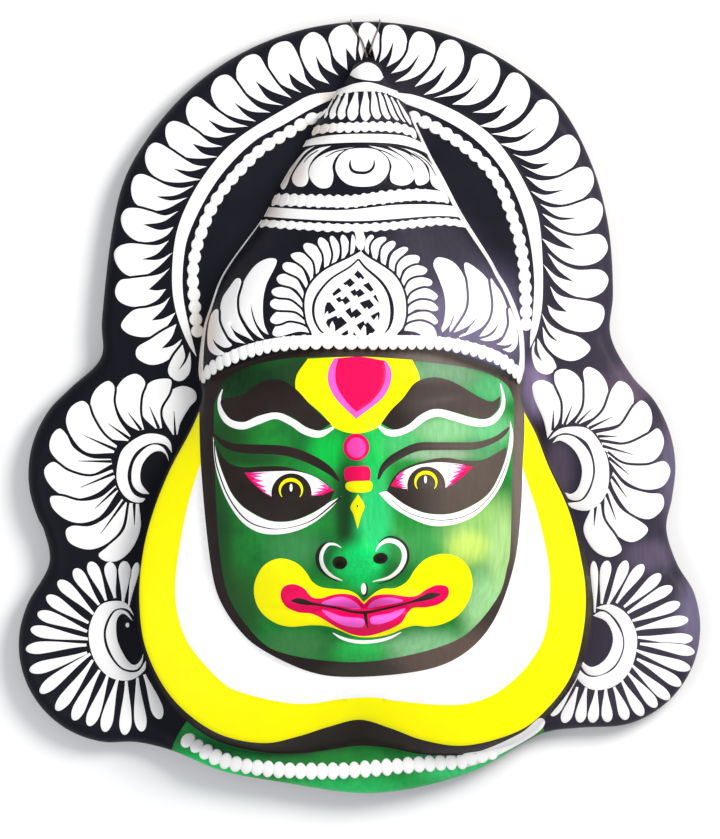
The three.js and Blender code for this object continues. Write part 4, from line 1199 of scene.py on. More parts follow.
onBoard = gridPoints(low, high, skin["boardGrid"])
onBoard = onBoard[within(outerLoop, onBoard) & ~within(footLoop, onBoard)]
onFigure = gridPoints(low, high, skin["figureGrid"])
onFigure = onFigure[within(footLoop, onFigure) & ~onFace(onFigure)]
finest = gridPoints(low, high, skin["faceGrid"])
onFigure = np.vstack([onFigure, finest[onFace(finest)]])
loose = np.vstack([
    close,
    ringPoints,
    farFrom(allFixed, onBoard, skin["boardGrid"] * 0.5),
    farFrom(allFixed, onFigure, skin["figureGrid"] * 0.5),
])
loose = loose[within(outerLoop, loose) & ~within(holeLoop, loose)]
frontFlat, frontFaces = triangulate(outerLoop, lines, loose, holeLoop)
print("front skin:", len(frontFlat), "points,", len(frontFaces), "triangles")

frontZ = frontHeight(frontFlat)
middles = frontFlat[frontFaces].mean(1)
inFigure = signedGap(footLine, middles) > 0
aboveBrow = middles[:, 1] > browAt(middles[:, 0])
zones = {"board": ~inFigure, "crown": inFigure & aboveBrow, "face": inFigure & ~aboveBrow}
topLayer = np.full(len(frontFaces), -1)
for i, layer in enumerate(layers):
    topLayer[zones[layer["zone"]] & within(layer["loop"], middles)] = i

paintNames = ["night", "white", "yellow", "green", "dark", "crimson", "pink", "palePink", "eyeWhite", "bare",
              "rawBack"]
layerPaint = np.array([paintNames.index(layer["paint"]) for layer in layers] + [0])
frontPaint = layerPaint[topLayer]

# Paint stands up a little wherever all the triangles round a point have the same paint.
lowest = np.full(len(frontFlat), len(paintNames))
highest = np.full(len(frontFlat), -1)
rise = np.full(len(frontFlat), 1.0)
layerRise = np.array([layer["rise"] for layer in layers] + [0])[topLayer]
for corner in frontFaces.T:
    np.minimum.at(lowest, corner, frontPaint)
    np.maximum.at(highest, corner, frontPaint)
    np.minimum.at(rise, corner, layerRise)
frontZ = frontZ + np.where(lowest == highest, rise, 0)

# Back of the wall: the front surface moved in by the wall's thickness, as a ball would roll along it.
hollow = {"cell": 2.5, "margin": 12}
cell, margin = hollow["cell"], hollow["margin"]
gridX = np.arange(low[0] - margin, high[0] + margin, cell)
gridY = np.arange(low[1] - margin, high[1] + margin, cell)
meshX, meshY = np.meshgrid(gridX, gridY)
coarse = frontHeight(np.column_stack([meshX.ravel(), meshY.ravel()])).reshape(meshX.shape)
eroded = coarse - mould["wall"]
for stepX in range(-2, 3):
    for stepY in range(-2, 3):
        reach = math.hypot(stepX, stepY) * cell
        if 0 < reach <= mould["wall"]:
            moved = np.roll(coarse, (stepY, stepX), (0, 1))
            eroded = np.minimum(eroded, moved - math.sqrt(mould["wall"] ** 2 - reach**2))


def backHeight(points):
    gx = (points[:, 0] - gridX[0]) / cell
    gy = (points[:, 1] - gridY[0]) / cell
    ix, iy = gx.astype(int), gy.astype(int)
    tx, ty = gx - ix, gy - iy
    top = eroded[iy, ix] * (1 - tx) + eroded[iy, ix + 1] * tx
    bottom = eroded[iy + 1, ix] * (1 - tx) + eroded[iy + 1, ix + 1] * tx
    return top * (1 - ty) + bottom * ty


points3, faces, paints = [], [], []


def addPoints(flat, z):
    first = len(points3)
    points3.extend(np.column_stack([flat, np.broadcast_to(z, len(flat))]).tolist())
    return first


def addStrip(upper, lower, paint):
    count = len(upper)
    for i in range(count):
        j = (i + 1) % count
        faces.append((upper[i], lower[i], lower[j], upper[j]))
        paints.append(paintNames.index(paint))


# Joins two rings of unlike counts that go the same way round; they are matched by their share of the turn.
def addBridge(ringA, ringB, paint):
    a, b = 0, 0
    while a < len(ringA) or b < len(ringB):
        if b >= len(ringB) or (a < len(ringA) and (a + 1) / len(ringA) <= (b + 1) / len(ringB)):
            faces.append((ringA[a % len(ringA)], ringA[(a + 1) % len(ringA)], ringB[b % len(ringB)]))
            a += 1
        else:
            faces.append((ringA[a % len(ringA)], ringB[(b + 1) % len(ringB)], ringB[b % len(ringB)]))
            b += 1
        paints.append(paintNames.index(paint))


addPoints(frontFlat, frontZ)
faces.extend(tuple(f) for f in frontFaces.tolist())
paints.extend(frontPaint.tolist())
outerRing, holeRing = openLoops(frontFaces)[:2]
ringFlat = frontFlat[outerRing]
nick = np.zeros(len(ringFlat))
for x in mould["nicks"]:
    nick[(np.abs(ringFlat[:, 0] - x) < mould["nickHalf"]) & (ringFlat[:, 1] > 150)] = mould["nickDepth"]
count = len(outerRing)


def ringOf(flat, z):
    first = addPoints(flat, z)
    return list(range(first, first + count))


rimInner = moveIn(ringFlat, mould["rimWidth"])
backLoop = moveIn(ringFlat, mould["rimWidth"] + skin["backJoin"])
sideRing = ringOf(ringFlat, skin["sidePaint"])
footRing = ringOf(ringFlat, nick)
rimRing = ringOf(rimInner, nick)
addStrip(outerRing, sideRing, "night")
addStrip(sideRing, footRing, "bare")
addStrip(footRing, rimRing, "bare")
backPoints = gridPoints(low, high, skin["backGrid"])
backPoints = backPoints[within(backLoop, backPoints)]
backPoints = farFrom(nearIndex(np.vstack([backLoop, holeLoop])), backPoints, skin["backGrid"] * 0.5)
backFlat, backFaces = triangulate(backLoop, [], backPoints, holeLoop)
firstBack = addPoints(backFlat, backHeight(backFlat))
faces.extend(tuple(f) for f in (backFaces[:, ::-1] + firstBack).tolist())
paints.extend([paintNames.index("rawBack")] * len(backFaces))
backRing, backHole = openLoops(backFaces)[:2]
start = int(np.argmin(np.hypot(*(backFlat[backRing] - backLoop[0]).T)))
backRing = [firstBack + i for i in backRing[start:] + backRing[:start]]
if len(backRing) == count:
    addStrip(rimRing, backRing, "rawBack")
else:
    addBridge(backRing, rimRing, "rawBack")


# Ring turned to begin at the hole's right side.
def fromRight(ring, flat):
    angle = np.arctan2(flat[:, 1] - mould["hole"][1], flat[:, 0] - mould["hole"][0]) % (2 * math.pi)
    start = int(np.argmin(angle))
    return ring[start:] + ring[:start]


holeTop = fromRight(holeRing[::-1], frontFlat[holeRing[::-1]])
holeBottom = fromRight([firstBack + i for i in backHole[::-1]], backFlat[backHole[::-1]])
addBridge(holeTop, holeBottom, "bare")

# From the mould's millimetres to the frame's metres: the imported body's box gives the shift.
shellLow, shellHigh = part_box("mask_shell")
shift = [
    (shellLow[0] + shellHigh[0]) / 2 - (low[0] + high[0]) / 2 * mm,
    shellLow[1] - low[1] * mm,
    shellLow[2],
]


def toFrame(points):
    p = np.asarray(points, float) * mm
    return p + np.array(shift)


def addObject(name, data):
    piece = bpy.data.objects.new(name, data)
    bpy.context.scene.collection.objects.link(piece)
    return piece


def meshPiece(name, points, faceList, finishes, indices=None):
    mesh = bpy.data.meshes.new(name)
    mesh.from_pydata(toFrame(points).tolist(), [], faceList)
    for finish in finishes:
        mesh.materials.append(finish)
    if indices is not None:
        mesh.polygons.foreach_set("material_index", indices)
    mesh.polygons.foreach_set("use_smooth", [True] * len(mesh.polygons))
    mesh.update()
    return addObject(name, mesh)


print("skin closed:", len(points3), "points,", len(faces), "faces")


# Colour given as the 0-255 values of a paint chip, turned to linear light.
def chip(red, green, blue):
    out = []
    for value in (red, green, blue):
        v = value / 255
        out.append(v / 12.92 if v <= 0.04045 else ((v + 0.055) / 1.055) ** 2.4)
    return (*out, 1)


# Gives sockets their plain values, or links them to other nodes' outputs.
def feed(tree, sockets, inputs):
    for name, value in inputs.items():
        if isinstance(value, bpy.types.NodeSocket):
            tree.links.new(value, sockets[name])
        else:
            sockets[name].default_value = value


# New node with its settings and inputs; gives back its outputs.
def addNode(tree, kind, inputs, **settings):
    node = tree.nodes.new(kind)
    for name, value in settings.items():
        setattr(node, name, value)
    feed(tree, node.inputs, inputs)
    return node.outputs


def newMaterial(name):
    material = bpy.data.materials.new(name)
    material.use_nodes = True
    return material, material.node_tree, material.node_tree.nodes["Principled BSDF"].inputs


# Node group with named inputs and outputs; gives back the group, what it is given and what it puts out.
def newGroup(name, inputs, outputs, kind="ShaderNodeTree"):
    group = bpy.data.node_groups.new(name, kind)
    for label, socketKind, value in inputs:
        socket = group.interface.new_socket(name=label, in_out="INPUT", socket_type=socketKind)
        if value is not None:
            socket.default_value = value
    for label, socketKind in outputs:
        group.interface.new_socket(name=label, in_out="OUTPUT", socket_type=socketKind)
    return group, group.nodes.new("NodeGroupInput").outputs, group.nodes.new("NodeGroupOutput").inputs


# Soft round patch of colour, used for pigment and for painted shade and sheen: 1 in its middle, 0 at its
# edge.
def softSpotGroup():
    group, given, sink = newGroup(
        "softSpot",
        [("Place", "NodeSocketVector", None), ("Centre", "NodeSocketVector", (0, 0, 0)),
         ("Radii", "NodeSocketVector", (0.02, 0.02, 10)), ("Strength", "NodeSocketFloat", 1.0)],
        [("Mask", "NodeSocketFloat")])
    offset = addNode(group, "ShaderNodeVectorMath", {0: given["Place"], 1: given["Centre"]},
                     operation="SUBTRACT")
    scaled = addNode(group, "ShaderNodeVectorMath", {0: offset[0], 1: given["Radii"]}, operation="DIVIDE")
    length = addNode(group, "ShaderNodeVectorMath", {0: scaled[0]}, operation="LENGTH")
    fade = addNode(group, "ShaderNodeMapRange",
                   {"From Min": 1.0, "From Max": 0.15, "Value": length["Value"]},
                   interpolation_type="SMOOTHERSTEP")
    mask = addNode(group, "ShaderNodeMath", {0: fade["Result"], 1: given["Strength"]},
                   operation="MULTIPLY")
    group.links.new(mask[0], sink["Mask"])
    return group


# Hand-brushed enamel: broad mottle, fine brush streaks and pinholes.
def brushworkGroup():
    group, given, sink = newGroup(
        "brushwork",
        [("Place", "NodeSocketVector", None), ("Broad", "NodeSocketFloat", 45.0),
         ("Streaks", "NodeSocketFloat", 420.0)],
        [("Mottle", "NodeSocketFloat"), ("Streak", "NodeSocketFloat"), ("Grain", "NodeSocketFloat")])
    place = given["Place"]
    pull = addNode(group, "ShaderNodeMapping",
                   {"Vector": place, "Rotation": (0.0, 0.0, 0.5), "Scale": (1.0, 0.12, 1.0)})
    marks = {
        "Mottle": {"Vector": place, "Scale": given["Broad"], "Detail": 4.0, "Roughness": 0.6},
        "Streak": {"Vector": pull[0], "Scale": given["Streaks"], "Detail": 3.0},
        "Grain": {"Vector": place, "Scale": 1400.0, "Detail": 2.0},
    }
    for label, inputs in marks.items():
        group.links.new(addNode(group, "ShaderNodeTexNoise", inputs)["Fac"], sink[label])
    return group


# Colour ramp of two stops, each a place and a colour.
def addRamp(tree, value, low, high):
    node = tree.nodes.new("ShaderNodeValToRGB")
    for stop, (at, colour) in zip(node.color_ramp.elements, (low, high)):
        stop.position = at
        stop.color = colour
    tree.links.new(value, node.inputs["Fac"])
    return node.outputs["Color"]


softSpot = softSpotGroup()
brushwork = brushworkGroup()


def placeOnMask(x, y):
    p = toFrame([[*onMask([(x, y)])[0], 0]])[0]
    return (p[0], p[1], 0.0)


# Every enamel's varnish, and the depth of its brush marks in millimetres.
varnish = {"specular": 0.09, "coat": 0.04, "coatRoughness": 0.28, "relief": 0.05}


# One enamel colour: light and dark pigment, patches of other colours (pigment, and painted light: shade,
# highlights and sheen), brush marks and varnish.
def enamel(name, light, shade, patches=(), gloss=0.5, contrast=0.5):
    material, tree, shader = newMaterial(name)
    place = addNode(tree, "ShaderNodeTexCoord", {})["Object"]
    marks = addNode(tree, "ShaderNodeGroup", {"Place": place}, node_tree=brushwork)

    def blend(share, first, second):
        inputs = {"Factor": share, "A": first, "B": second}
        return addNode(tree, "ShaderNodeMix", inputs, data_type="RGBA")["Result"]

    def spread(value, inputs):
        return addNode(tree, "ShaderNodeMapRange", {"Value": value, **inputs})["Result"]

    mottle = spread(marks["Mottle"], {"From Min": 0.35, "From Max": 0.7, "To Max": contrast})
    colour = blend(mottle, chip(*light), chip(*shade))
    # Each patch is pigment, painted light, or both: painted shade, highlight or sheen laid into the colour.
    for x, y, radiusX, radiusY, patchColour, strength in patches:
        radii = (radiusX * sheet["square"] * mm, radiusY * sheet["square"] * mm, 10)
        spot = addNode(
            tree, "ShaderNodeGroup",
            {"Place": place, "Centre": placeOnMask(x, y), "Radii": radii, "Strength": strength},
            node_tree=softSpot)
        colour = blend(spot["Mask"], colour, chip(*patchColour))
    streaks = spread(marks["Streak"], {"From Min": 0.3, "From Max": 0.75, "To Max": contrast * 0.3})
    height = addNode(tree, "ShaderNodeMath", {0: marks["Streak"], 1: marks["Grain"]}, operation="ADD")
    bump = addNode(tree, "ShaderNodeBump",
                   {"Strength": 0.6, "Distance": varnish["relief"] * mm, "Height": height[0]})
    feed(tree, shader, {
        "Base Color": blend(streaks, colour, chip(*shade)),
        "Roughness": spread(marks["Streak"], {"To Min": gloss - 0.06, "To Max": gloss + 0.12}),
        "Normal": bump["Normal"],
        "Specular IOR Level": varnish["specular"],
        "Coat Weight": varnish["coat"],
        "Coat Roughness": varnish["coatRoughness"],
    })
    return material


paper = {"light": chip(168, 140, 108), "dark": chip(112, 88, 64), "lump": 0.5, "fibre": 0.18}


# Bare layered paper and clay: lumps, fibres and a stain.
def bareMaterial(name, light, dark, roughness):
    material, tree, shader = newMaterial(name)
    place = addNode(tree, "ShaderNodeTexCoord", {})["Object"]
    stain = addNode(tree, "ShaderNodeTexNoise",
                    {"Vector": place, "Scale": 38.0, "Detail": 8.0, "Roughness": 0.65})
    layered = addNode(tree, "ShaderNodeTexVoronoi", {"Vector": place, "Scale": 26.0},
                      feature="DISTANCE_TO_EDGE")
    overlap = addNode(tree, "ShaderNodeMapRange", {"From Max": 0.04, "Value": layered["Distance"]})
    steps = addNode(tree, "ShaderNodeBump",
                    {"Distance": paper["lump"] * mm, "Strength": 0.5, "Height": overlap["Result"]})
    fibre = addNode(tree, "ShaderNodeTexNoise", {"Vector": place, "Scale": 700.0, "Detail": 4.0})
    fine = addNode(tree, "ShaderNodeBump",
                   {"Distance": paper["fibre"] * mm, "Height": fibre["Fac"], "Normal": steps["Normal"]})
    feed(tree, shader, {
        "Base Color": addRamp(tree, stain["Fac"], (0.32, dark), (0.7, light)),
        "Roughness": roughness,
        "Normal": fine["Normal"],
    })
    return material


# Patches of colour: place on the sheet, half-lengths, colour, strength. On the green face they are the
# painter's darker and brighter greens together with painted light: painted shade down the left side, beside
# the nose and under the crown's edge, a painted shadow on the neck below the collar, painted highlights on
# the nose and forehead, and pale painted sheen with a yellow painted reflection on the right cheek.
greenToneAndPaintedLight = [
    (432, 1120, 68, 400, (30, 62, 32), 0.88), (476, 1212, 88, 128, (42, 80, 38), 0.85),
    (496, 764, 200, 88, (20, 40, 24), 0.97), (600, 744, 80, 80, (34, 52, 34), 0.8),
    (444, 880, 100, 100, (30, 66, 30), 0.9), (512, 916, 100, 28, (28, 66, 28), 0.85),
    (660, 904, 68, 68, (4, 196, 70), 0.9), (690, 1010, 34, 168, (28, 58, 32), 0.92),
    (640, 1100, 52, 68, (22, 100, 50), 0.85), (592, 1096, 92, 60, (66, 138, 80), 0.7),
    (752, 904, 48, 120, (4, 200, 84), 0.95), (748, 1040, 60, 140, (44, 208, 118), 0.95),
    (720, 1124, 72, 68, (4, 250, 124), 0.9), (804, 884, 60, 52, (74, 198, 114), 0.85),
    (892, 860, 104, 48, (144, 210, 146), 0.85), (984, 860, 68, 60, (122, 210, 142), 0.8),
    (880, 752, 148, 60, (126, 168, 130), 0.9), (988, 776, 72, 52, (94, 188, 122), 0.9),
    (880, 908, 120, 24, (150, 178, 146), 0.9), (968, 900, 52, 40, (92, 164, 110), 0.8),
    (848, 1092, 100, 68, (70, 164, 84), 0.7), (956, 1060, 112, 116, (172, 220, 122), 0.75),
    (936, 1092, 68, 52, (214, 240, 110), 0.8), (1004, 1120, 48, 180, (184, 226, 144), 0.85),
    (968, 1212, 76, 120, (168, 222, 154), 0.9), (860, 1300, 152, 64, (150, 208, 154), 0.85),
    (720, 1304, 88, 44, (44, 196, 86), 0.85), (592, 1292, 108, 56, (70, 132, 76), 0.8),
    (430, 1530, 140, 100, (16, 220, 106), 0.9), (660, 1612, 460, 80, (56, 230, 126), 0.9),
    (540, 1488, 300, 52, (36, 64, 40), 0.85), (960, 1540, 180, 88, (70, 220, 130), 0.85),
]
# Night enamel: lighter purple-grey over the right side of the board and the crown is painted sheen of the
# light on the black; near black on the left is painted shade beside the crown.
nightPaintedSheenAndShade = [
    (1280, 660, 340, 920, (58, 52, 66), 0.95), (1200, 1280, 340, 380, (60, 54, 68), 0.9),
    (940, 660, 180, 200, (118, 108, 138), 0.9), (860, 500, 160, 120, (60, 55, 68), 0.8),
    (790, 220, 120, 120, (52, 46, 58), 0.7), (1072, 776, 48, 92, (150, 132, 170), 0.85),
    (1352, 940, 60, 180, (116, 104, 132), 0.7), (1260, 768, 80, 68, (104, 88, 108), 0.7),
    (1116, 940, 48, 100, (98, 84, 104), 0.7), (1392, 1240, 68, 140, (122, 112, 142), 0.75),
    (1300, 1112, 80, 52, (104, 92, 116), 0.7), (280, 840, 380, 840, (8, 11, 20), 0.92),
]
# Brown-black face paint: lighter, warmer brown, mostly on the right, is painted sheen where the light
# catches the dark paint.
darkPaintedSheen = [
    (960, 980, 200, 380, (92, 80, 73), 0.95), (900, 724, 240, 72, (118, 106, 100), 0.95),
    (720, 704, 120, 28, (68, 61, 54), 0.9), (880, 800, 128, 68, (80, 70, 68), 0.85),
    (1040, 960, 32, 300, (120, 108, 100), 0.9), (900, 1320, 220, 120, (110, 92, 84), 0.85),
    (720, 1340, 120, 32, (62, 62, 50), 0.8), (1184, 1200, 40, 240, (78, 72, 50), 0.7),
]
# White enamel: a tan painted shade down the crown's left edge and on the white beside it, where the surface
# turns away from the light.
tanPaintedShade = [
    (656, 194, 32, 20), (632, 260, 60, 32), (572, 330, 68, 88), (524, 416, 68, 60), (412, 660, 44, 120),
    (396, 756, 24, 80),
]
materials = {
    "night": enamel("nightEnamel", (16, 17, 27), (26, 25, 36), nightPaintedSheenAndShade, gloss=0.55, contrast=0.8),
    # The white's patches are the tan painted shade down the crown's left edge.
    "white": enamel("whiteEnamel", (250, 249, 248), (238, 236, 234),
                    [(*spot, (216, 200, 186), 0.7) for spot in tanPaintedShade], contrast=0.4),
    "yellow": enamel("yellowEnamel", (253, 246, 0), (248, 238, 0), contrast=0.4),
    "green": enamel("greenEnamel", (36, 146, 54), (20, 96, 42), greenToneAndPaintedLight, gloss=0.48, contrast=0.9),
    "dark": enamel("brownBlackEnamel", (36, 28, 27), (48, 40, 37), darkPaintedSheen, gloss=0.55, contrast=0.6),
    "crimson": enamel("crimsonEnamel", (236, 4, 88), (222, 4, 80), contrast=0.4),
    "pink": enamel("pinkEnamel", (240, 74, 176), (228, 52, 146)),
    "palePink": enamel("palePinkEnamel", (246, 104, 216), (236, 76, 178), contrast=0.6),
    "eyeWhite": enamel("eyeWhiteEnamel", (250, 249, 247), (234, 230, 228), gloss=0.42, contrast=0.3),
    "bare": bareMaterial("bareEdge", chip(96, 82, 68), chip(56, 46, 38), 0.8),
    "rawBack": bareMaterial("rawBack", paper["light"], paper["dark"], 0.85),
}
skinMaterials = [materials[name] for name in paintNames]
maskSkin = meshPiece("painted_mask", points3, faces, skinMaterials, paints)
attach(maskSkin, "root")
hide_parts("mask_shell")
print("mask skin made")


# Flattened dabs of paint: one on each point, turned and sized by the point's own values.
def beadTree():
    tree, given, sink = newGroup(
        "beadRow",
        [("Geometry", "NodeSocketGeometry", None), ("Unevenness", "NodeSocketFloat", 0.06),
         ("Seed", "NodeSocketInt", 3), ("Paint", "NodeSocketMaterial", None)],
        [("Geometry", "NodeSocketGeometry")], "GeometryNodeTree")

    def pointValue(name):
        named = addNode(tree, "GeometryNodeInputNamedAttribute", {"Name": name}, data_type="FLOAT_VECTOR")
        return named["Attribute"]

    def besideOne(operation):
        return addNode(tree, "ShaderNodeMath", {0: 1.0, 1: given["Unevenness"]}, operation=operation)[0]

    upright = addNode(tree, "FunctionNodeAlignRotationToVector", {"Vector": pointValue("facing")}, axis="Z")
    along = addNode(tree, "FunctionNodeAlignRotationToVector",
                    {"Rotation": upright["Rotation"], "Vector": pointValue("along")},
                    axis="X", pivot_axis="Z")
    dab = addNode(tree, "GeometryNodeMeshUVSphere", {"Segments": 14, "Rings": 7, "Radius": 0.5})
    chance = addNode(tree, "FunctionNodeRandomValue",
                     {"Min": besideOne("SUBTRACT"), "Max": besideOne("ADD"), "Seed": given["Seed"]},
                     data_type="FLOAT_VECTOR")
    uneven = addNode(tree, "ShaderNodeVectorMath", {0: pointValue("dabSize"), 1: chance["Value"]},
                     operation="MULTIPLY")
    dabs = addNode(tree, "GeometryNodeInstanceOnPoints",
                   {"Points": given["Geometry"], "Instance": dab["Mesh"], "Rotation": along["Rotation"],
                    "Scale": uneven[0]})
    real = addNode(tree, "GeometryNodeRealizeInstances", {"Geometry": dabs["Instances"]})
    rounded = addNode(tree, "GeometryNodeSetShadeSmooth", {"Geometry": real["Geometry"]})
    painted = addNode(tree, "GeometryNodeSetMaterial",
                      {"Geometry": rounded["Geometry"], "Material": given["Paint"]})
    tree.links.new(painted["Geometry"], sink["Geometry"])
    return tree


beadRow = beadTree()

# Bead rows: path and spacing on the painter's sheet (a third number is the spacing at that point alone),
# each dab's width and height in millimetres, how far it overlaps the next, and how far above the path the
# surface that carries it is felt.
beadRows = {
    "beads_halo_left": {
        "spacing": 25.4, "width": 7.6, "height": 1.4, "overlap": 1.13,
        "path": [
            (646, 227), (610, 244), (582, 262), (546, 283), (516, 304), (484, 336), (467.2, 354),
            (442, 386), (426, 410), (412, 440), (403, 464), (392, 500), (386, 542), (386, 568), (388, 591),
            (390, 616), (392, 641, 24.8), (394.8, 662, 22)],
    },
    "beads_halo_right": {
        "spacing": 24.6, "width": 7.8, "height": 1.4, "overlap": 1.13,
        "path": [
            (828, 234), (876, 258), (920, 286), (950, 310), (980, 340), (1004, 380), (1018, 414),
            (1028, 444), (1038, 476), (1044, 508), (1048, 536), (1050, 570), (1052, 612), (1052, 648, 24)],
    },
    "beads_brow": {
        "spacing": 16, "width": 9.2, "height": 2.2, "overlap": 1.16, "lift": 3.2,
        "path": [
            (407, 754, 12.4), (421, 740, 14.8), (435, 730), (450, 722), (482, 708.6, 17.6), (516, 698),
            (546, 691.6, 17.6), (583, 686.8, 19.6), (604, 685.6, 22), (652, 684.8, 24), (698, 685.2, 23.2),
            (744, 685.6, 20.8), (803, 685.6, 18.8), (859, 686, 18), (894, 688.8, 18.4), (930, 696, 18),
            (964, 705.2, 16.8), (994, 717.2), (1018, 732, 14.8), (1030, 743.2, 14), (1038, 754, 12.8)],
    },
    "beads_neck_left": {
        "spacing": 21.6, "width": 10.6, "height": 2.4, "overlap": 1.16,
        "path": [
            (376, 1480), (406, 1499.2), (432, 1514), (470, 1527.2), (512, 1534.8), (568, 1540),
            (624, 1542), (684, 1541.2), (744, 1536.8), (804, 1531.2), (864, 1526.4), (924, 1521.2)],
    },
    "beads_neck_right": {
        "spacing": 18, "width": 8.6, "height": 2.0, "overlap": 1.2,
        "path": [
            (942, 1517), (962, 1512.8), (984, 1506.4)],
    },
    "beads_crown_upper": {
        "spacing": 16, "width": 7.0, "height": 0.8, "overlap": 1.14,
        "path": [
            (632, 261.2), (660, 257.2), (700, 256.4), (744, 254.8), (780, 255.2), (808, 259.2),
            (826, 266.8)],
    },
    "beads_crown_middle": {
        "spacing": 18, "width": 8.8, "height": 0.8, "overlap": 1.14,
        "path": [
            (552, 400, 16), (580, 401.2, 17.2), (622, 403.2), (660, 404, 18.4), (698, 404.8),
            (748, 398.8), (800, 392.8), (840, 391.2), (888, 395.2, 16.8)],
    },
    "beads_crown_lower": {
        "spacing": 18, "width": 5.8, "height": 0.8, "overlap": 1.14,
        "path": [
            (528, 447.2, 17.2), (560, 450), (596, 452.8), (650, 456.4, 18.8), (698, 457.6, 18.8),
            (750, 456, 18.4), (800, 452), (840, 448), (877.2, 444.4), (910, 446), (932, 450.8)],
    },
}


bead = {
    "unevenness": 0.05,
    "height": 0.15,  # middle of a dab over the surface, mm
    "pathStep": 0.25,
    "feeler": 0.6,  # distance at which the surface's slope is felt
}


def surfaceFacing(flat):
    gap = bead["feeler"]
    right, left = frontHeight(flat + [gap, 0]), frontHeight(flat - [gap, 0])
    up, down = frontHeight(flat + [0, gap]), frontHeight(flat - [0, gap])
    normal = np.column_stack([(left - right) / (2 * gap), (down - up) / (2 * gap), np.ones(len(flat))])
    return normal / np.linalg.norm(normal, axis=1)[:, None]


# Bead centres: as many as the spacings along the path give room for.
def beadCentres(row):
    path = [(*point, row["spacing"])[:3] for point in row["path"]]
    line = smoothLine(onMask(path), False, bead["pathStep"])
    passed = np.concatenate([[0], np.cumsum(bead["pathStep"] / line[1:, 2])])
    at = np.linspace(0, passed[-1], round(passed[-1]) + 1)
    return np.column_stack([np.interp(at, passed, column) for column in line[:, :2].T])


def beadPiece(name, row, seed):
    flat = beadCentres(row)
    carrier = flat + [0, row.get("lift", 0)]
    height = np.maximum(frontHeight(flat), frontHeight(carrier))
    facing = surfaceFacing(carrier)
    centres = np.column_stack([flat, height + bead["height"]])
    along = np.gradient(centres, axis=0)
    spacing = np.linalg.norm(along, axis=1)
    size = np.column_stack([spacing * row["overlap"], np.full(len(flat), row["width"]),
                            np.full(len(flat), row["height"])]) * mm
    mesh = bpy.data.meshes.new(name + "_centres")
    mesh.from_pydata(toFrame(centres).tolist(), [], [])
    for label, values in (("facing", facing), ("along", along), ("dabSize", size)):
        mesh.attributes.new(label, "FLOAT_VECTOR", "POINT").data.foreach_set("vector", values.ravel())
    spots = addObject(name + "_centres", mesh)
    modifier = spots.modifiers.new("beads", "NODES")
    modifier.node_group = beadRow
    values = {"Unevenness": bead["unevenness"], "Seed": seed, "Paint": materials["white"]}
    for socket in beadRow.interface.items_tree:
        if socket.item_type == "SOCKET" and socket.in_out == "INPUT" and socket.name in values:
            modifier[socket.identifier] = values[socket.name]
    evaluated = spots.evaluated_get(bpy.context.evaluated_depsgraph_get())
    beads = bpy.data.meshes.new_from_object(evaluated)
    piece = addObject(name, beads)
    bpy.data.objects.remove(spots)
    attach(piece, "root")
    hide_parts("mask_shell")
    return piece


for number, (name, row) in enumerate(beadRows.items()):
    beadPiece(name, row, number + 1)
print("bead rows made:", len(beadRows))

# Binding wire through the hole, over the board's top edge, back inside and out again.
wire = {"radius": 0.5, "clear": 0.95, "sides": 8, "step": 0.8, "cuts": 12}


def wireMaterial():
    material, tree, shader = newMaterial("annealedWire")
    place = addNode(tree, "ShaderNodeTexCoord", {})["Object"]
    rust = addNode(tree, "ShaderNodeTexNoise", {"Vector": place, "Scale": 900.0, "Detail": 5.0})["Fac"]
    rough = addNode(tree, "ShaderNodeMapRange", {"To Min": 0.3, "To Max": 0.65, "Value": rust})
    feed(tree, shader, {
        "Base Color": addRamp(tree, rust, (0, chip(58, 52, 50)), (1, chip(150, 140, 134))),
        "Metallic": 0.9,
        "Roughness": rough["Result"],
    })
    return material


def wirePoints():
    hx, hy = mould["hole"]
    rise, edge = mould["boardRise"], mould["boardRound"]

    def overBoard(x, y):
        flat = np.array([[x, y]])
        inset = np.maximum(signedGap(boardLine, flat), 0)
        return (x, y, float(boardHeight(flat, inset)[0]) + wire["clear"])

    def strand(x, side):
        top = float(boardLine[np.abs(boardLine[:, 0] - x) < 3][:, 1].max())
        return [
            overBoard(hx + (x - hx) * 0.45, hy + (top - hy) * 0.45),  # up over the board
            overBoard(hx + (x - hx) * 0.8, hy + (top - hy) * 0.8 - 1.5),
            (x, top - 1, rise - edge + 5.8),  # over its edge and down the side
            (x, top + wire["clear"], rise - edge + 1),
            (x, top + wire["clear"], 5),
            (x, top + wire["clear"] - 0.2, 2),
            (x, top - 0.8, 1),  # through the nick and back inside to the hole
            (x, top - mould["rimWidth"] / 2, 1.05),
            (x, top - mould["rimWidth"] - 1.2, 1.1),
            (hx + side * 1.6, hy + 7, 4),
            (hx + side * 1.1, hy + 1.5, 9),
        ]

    board = overBoard(hx, hy)[2] - wire["clear"]
    return [
        (hx - 1.2, hy - 2.2, board + wire["clear"] + 2.4),  # free end, left leg, through the hole, right leg
        (hx - 1.9, hy + 0.6, board + wire["clear"] + 1.2),
        *strand(mould["nicks"][0], -1),
        (hx - 0.85, hy, 14),
        (hx - 0.85, hy, board - 1),
        (hx + 0.1, hy + 0.6, board + 1.5),
        *strand(mould["nicks"][1], 1),
        (hx + 0.95, hy, 13),
        (hx + 0.95, hy - 0.3, board - 2),
    ]


